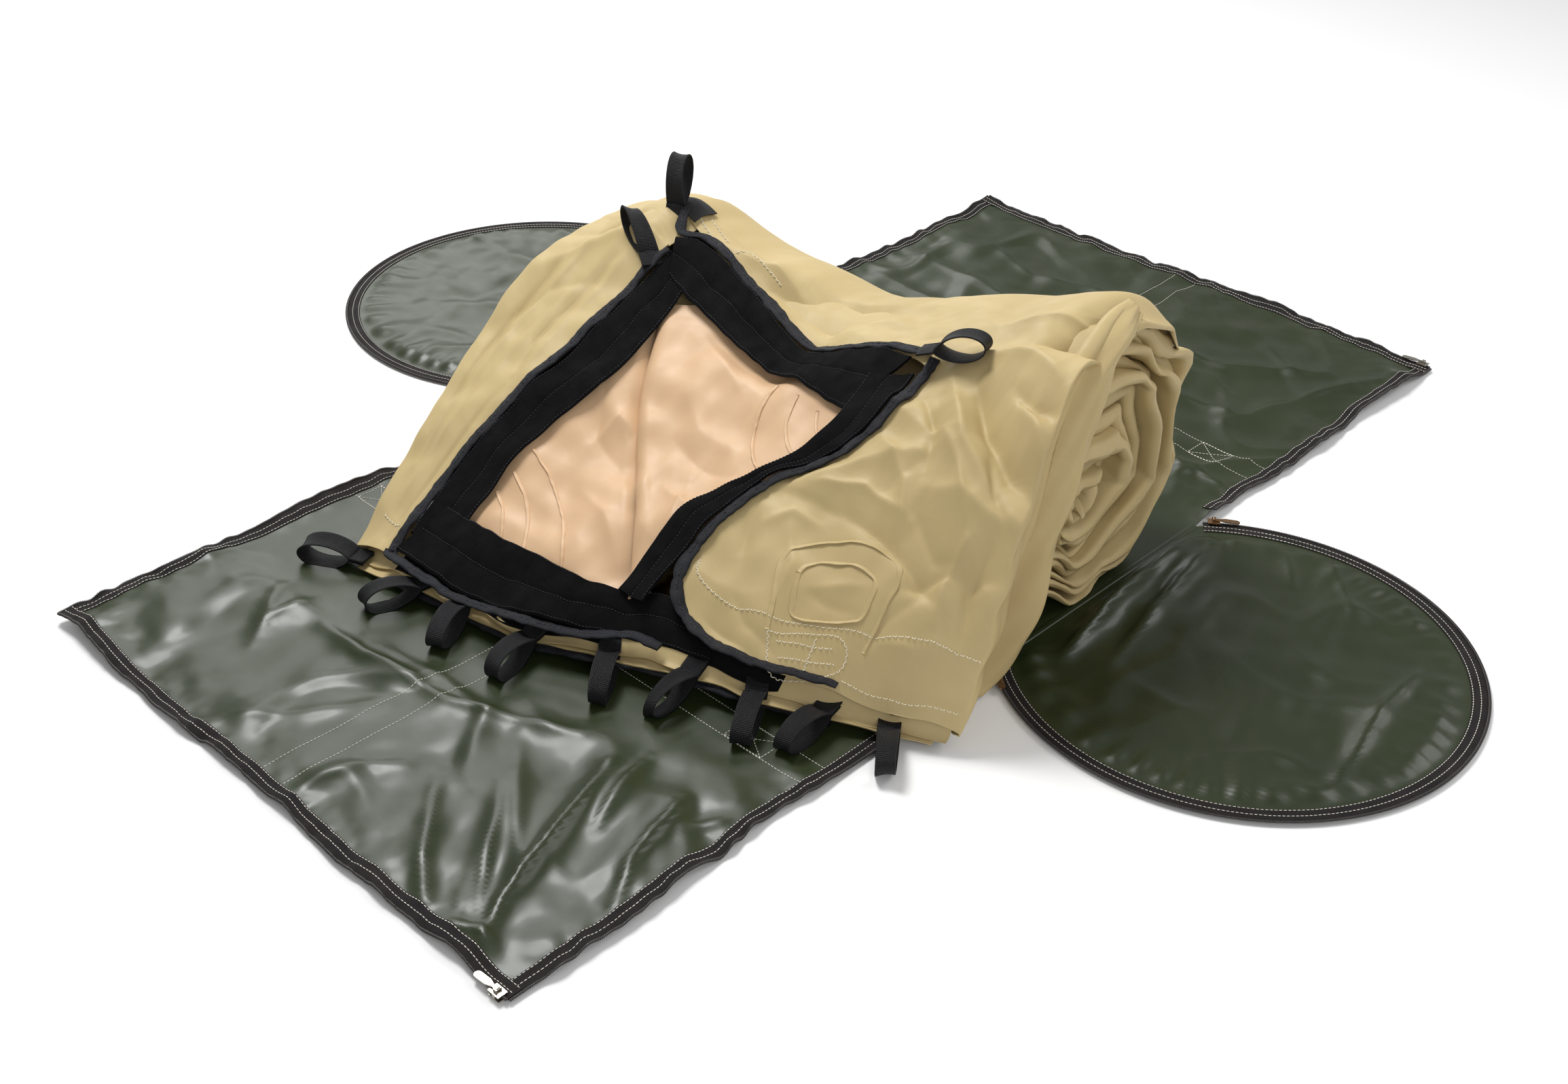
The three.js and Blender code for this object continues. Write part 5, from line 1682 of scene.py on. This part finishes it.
# %% [markdown]
# ## Webbing loops
# The mouth is closed by lacing, so its hem carries a row of loops and each corner one more. A loop
# is a strap folded back on itself and sewn flat at the root. It is stiff enough to stand open as
# a teardrop, and always a little twisted.

# %% Loops
LOOP_LENGTH, LOOP_HEIGHT, LOOP_STRAP = 0.064, 0.032, 0.025
HEM_LOOPS = [-150, -82, 18, 108, 196, 268, 334, 398]
CORNER_LOOPS = {
    "front_corner_loop": (-259, -528, -1.4, -160, 0),
    "peak_loop": (-205, -52, 1, 110, 62),
    "upper_left_loop": (-190, -112, 9, 152, 30),
    "side_corner_loop": (240, -84, 21.9, 20, 20),
}


def loop_strap(name, root, heading, pitch, seed, length=LOOP_LENGTH, height=LOOP_HEIGHT, on_floor=False):
    rng = np.random.default_rng(seed)
    theta = np.linspace(0.0, 2 * np.pi, 64)
    out = length * (1 - np.cos(theta)) / 2
    rise = height / 2 * np.sin(theta) * ((1 - np.cos(theta)) / 2) ** 0.35 * 1.25
    rise = rise + rng.uniform(-0.002, 0.002) * np.sin(2 * theta)
    tail = np.linspace(-0.020, -0.002, 6)
    out = np.concatenate([tail, out, tail[::-1]])
    rise = np.concatenate([0.0013 + 0 * tail, rise, -0.0013 + 0 * tail])
    part = np.concatenate([0 * tail, np.sin(theta / 2) ** 2, 0 * tail])
    twist = rng.uniform(-0.9, 0.9) * part + rng.uniform(-0.4, 0.4) * part**2
    skew = rng.uniform(-0.016, 0.016) * part
    across = np.linspace(-0.5, 0.5, 9)[None, :] * LOOP_STRAP * (1 - 0.12 * part[:, None])
    cup = 0.0018 * (1 - (2 * np.linspace(-0.5, 0.5, 9)[None, :]) ** 2)
    x = out[:, None] + 0 * across
    y = across * np.cos(twist)[:, None] + skew[:, None]
    z = rise[:, None] + across * np.sin(twist)[:, None]
    norm_x = np.gradient(rise)[:, None]
    norm_z = -np.gradient(out)[:, None]
    size = np.maximum(np.hypot(norm_x, norm_z), 1e-9)
    x, z = x + cup * norm_x / size, z + cup * norm_z / size
    cp, sp = math.cos(pitch), math.sin(pitch)
    x, z = cp * x - sp * z, sp * x + cp * z
    ch, sh = math.cos(heading), math.sin(heading)
    x, y = ch * x - sh * y, sh * x + ch * y
    points = np.stack([x + root[0], y + root[1], z + root[2]], -1)
    if on_floor:
        ground = SHEET_TOP + bag_height(points[..., 0], points[..., 1]) + 0.0006
        over_tape = (np.abs(points[..., 0]) > 0.380) & (np.abs(points[..., 0]) < 0.405)
        ground = ground + 0.0026 * over_tape
        points[..., 2] = np.maximum(points[..., 2], ground)
    return sheet_piece(name, points, 0.0017, webbing)


def tip_down(height):
    long, short = LOOP_LENGTH / 2, LOOP_HEIGHT / 2
    reach = height * long - math.hypot(height * math.sqrt(long**2 - short**2), short**2)
    return math.asin(min(0.9, max(0, reach / short**2)))


loops = []
for k, x in enumerate(HEM_LOOPS):
    x = x * MM
    slope = math.atan2(float(hem_y(x + 0.01) - hem_y(x - 0.01)), 0.02)
    root_z = max(SHEET_TOP + 0.0004 + LOOP_HEIGHT / 2, float(drape(x, hem_y(x))) - 0.010)
    root = (x + 0.007 * math.sin(slope), float(hem_y(x)) - 0.007 * math.cos(slope), root_z)
    tip = -tip_down(root_z - SHEET_TOP - 0.0004)
    turn_by = math.radians((-22, 14, -16, 20, -12, 16, -20, 8)[k])
    facing = slope - math.pi / 2 + turn_by
    strap = loop_strap(f"hem_loop_strap_{k + 1}", root, facing, tip, 200 + k, on_floor=True)
    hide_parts(f"hem_loop_{k + 1}")
    loops.append(strap)
for k, (name, (x, y, lift, heading, pitch)) in enumerate(CORNER_LOOPS.items()):
    root = (x * MM, y * MM, float(drape(x * MM, y * MM)) + lift * MM)
    facing, tilt = math.radians(heading), math.radians(pitch)
    strap = loop_strap(f"{name}_strap", root, facing, tilt, 220 + k, on_floor=k == 0)
    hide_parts(name)
    loops.append(strap)
for strap in loops:
    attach(strap, "stretcher")
print("loops", len(loops))

# %% [markdown]
# At the mouth's peak the end of a webbing is sewn down as a small flat tab.

# %% The tab at the peak
def tab(name, x0, x1, y0, y1, lift, finish, thickness=0.0016):
    xs, ys = np.linspace(x0, x1, 24), np.linspace(y0, y1, 20)
    return sheet_piece(name, draped(*np.meshgrid(xs, ys), lift), thickness, finish)


peak_tab = tab("peak_tab", -0.206, -0.172, -0.052, -0.014, 0.0062, webbing)
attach(peak_tab, "stretcher")
print("tab sewn")

# %% [markdown]
# ## Metal of the zips
# The four sliders and their pulls are small die cast parts. The end zips have bright nickel ones
# and the flap zips bronze ones, both rubbed where fingers hold them.

# %% Slider metal
METAL_NODES = {
    "front_zip_slider": nickel_plate, "front_zip_pull": nickel_plate,
    "rear_zip_slider": nickel_plate, "rear_zip_pull": nickel_plate,
    "flap_front_slider": bronze_plate, "flap_front_pull": bronze_plate,
    "flap_rear_slider": bronze_plate, "flap_rear_pull": bronze_plate,
}
for node, finish in METAL_NODES.items():
    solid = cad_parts[node]
    solid.data.materials.clear()
    solid.data.materials.append(finish)
print("metal parts", len(METAL_NODES))

# %% [markdown]
# ## Flat sizes
# For each flap the smaller of a fixed share of its width and the area of its laid grid is worked out, and
# not kept.


for side, (disc, band) in flap_pieces.items():
    width = {"right": 0.45, "left": 0.53}[side]
    min(0.9 * width * 0.54, grid_area(flap_layer(side)(*flap_grid(side))))
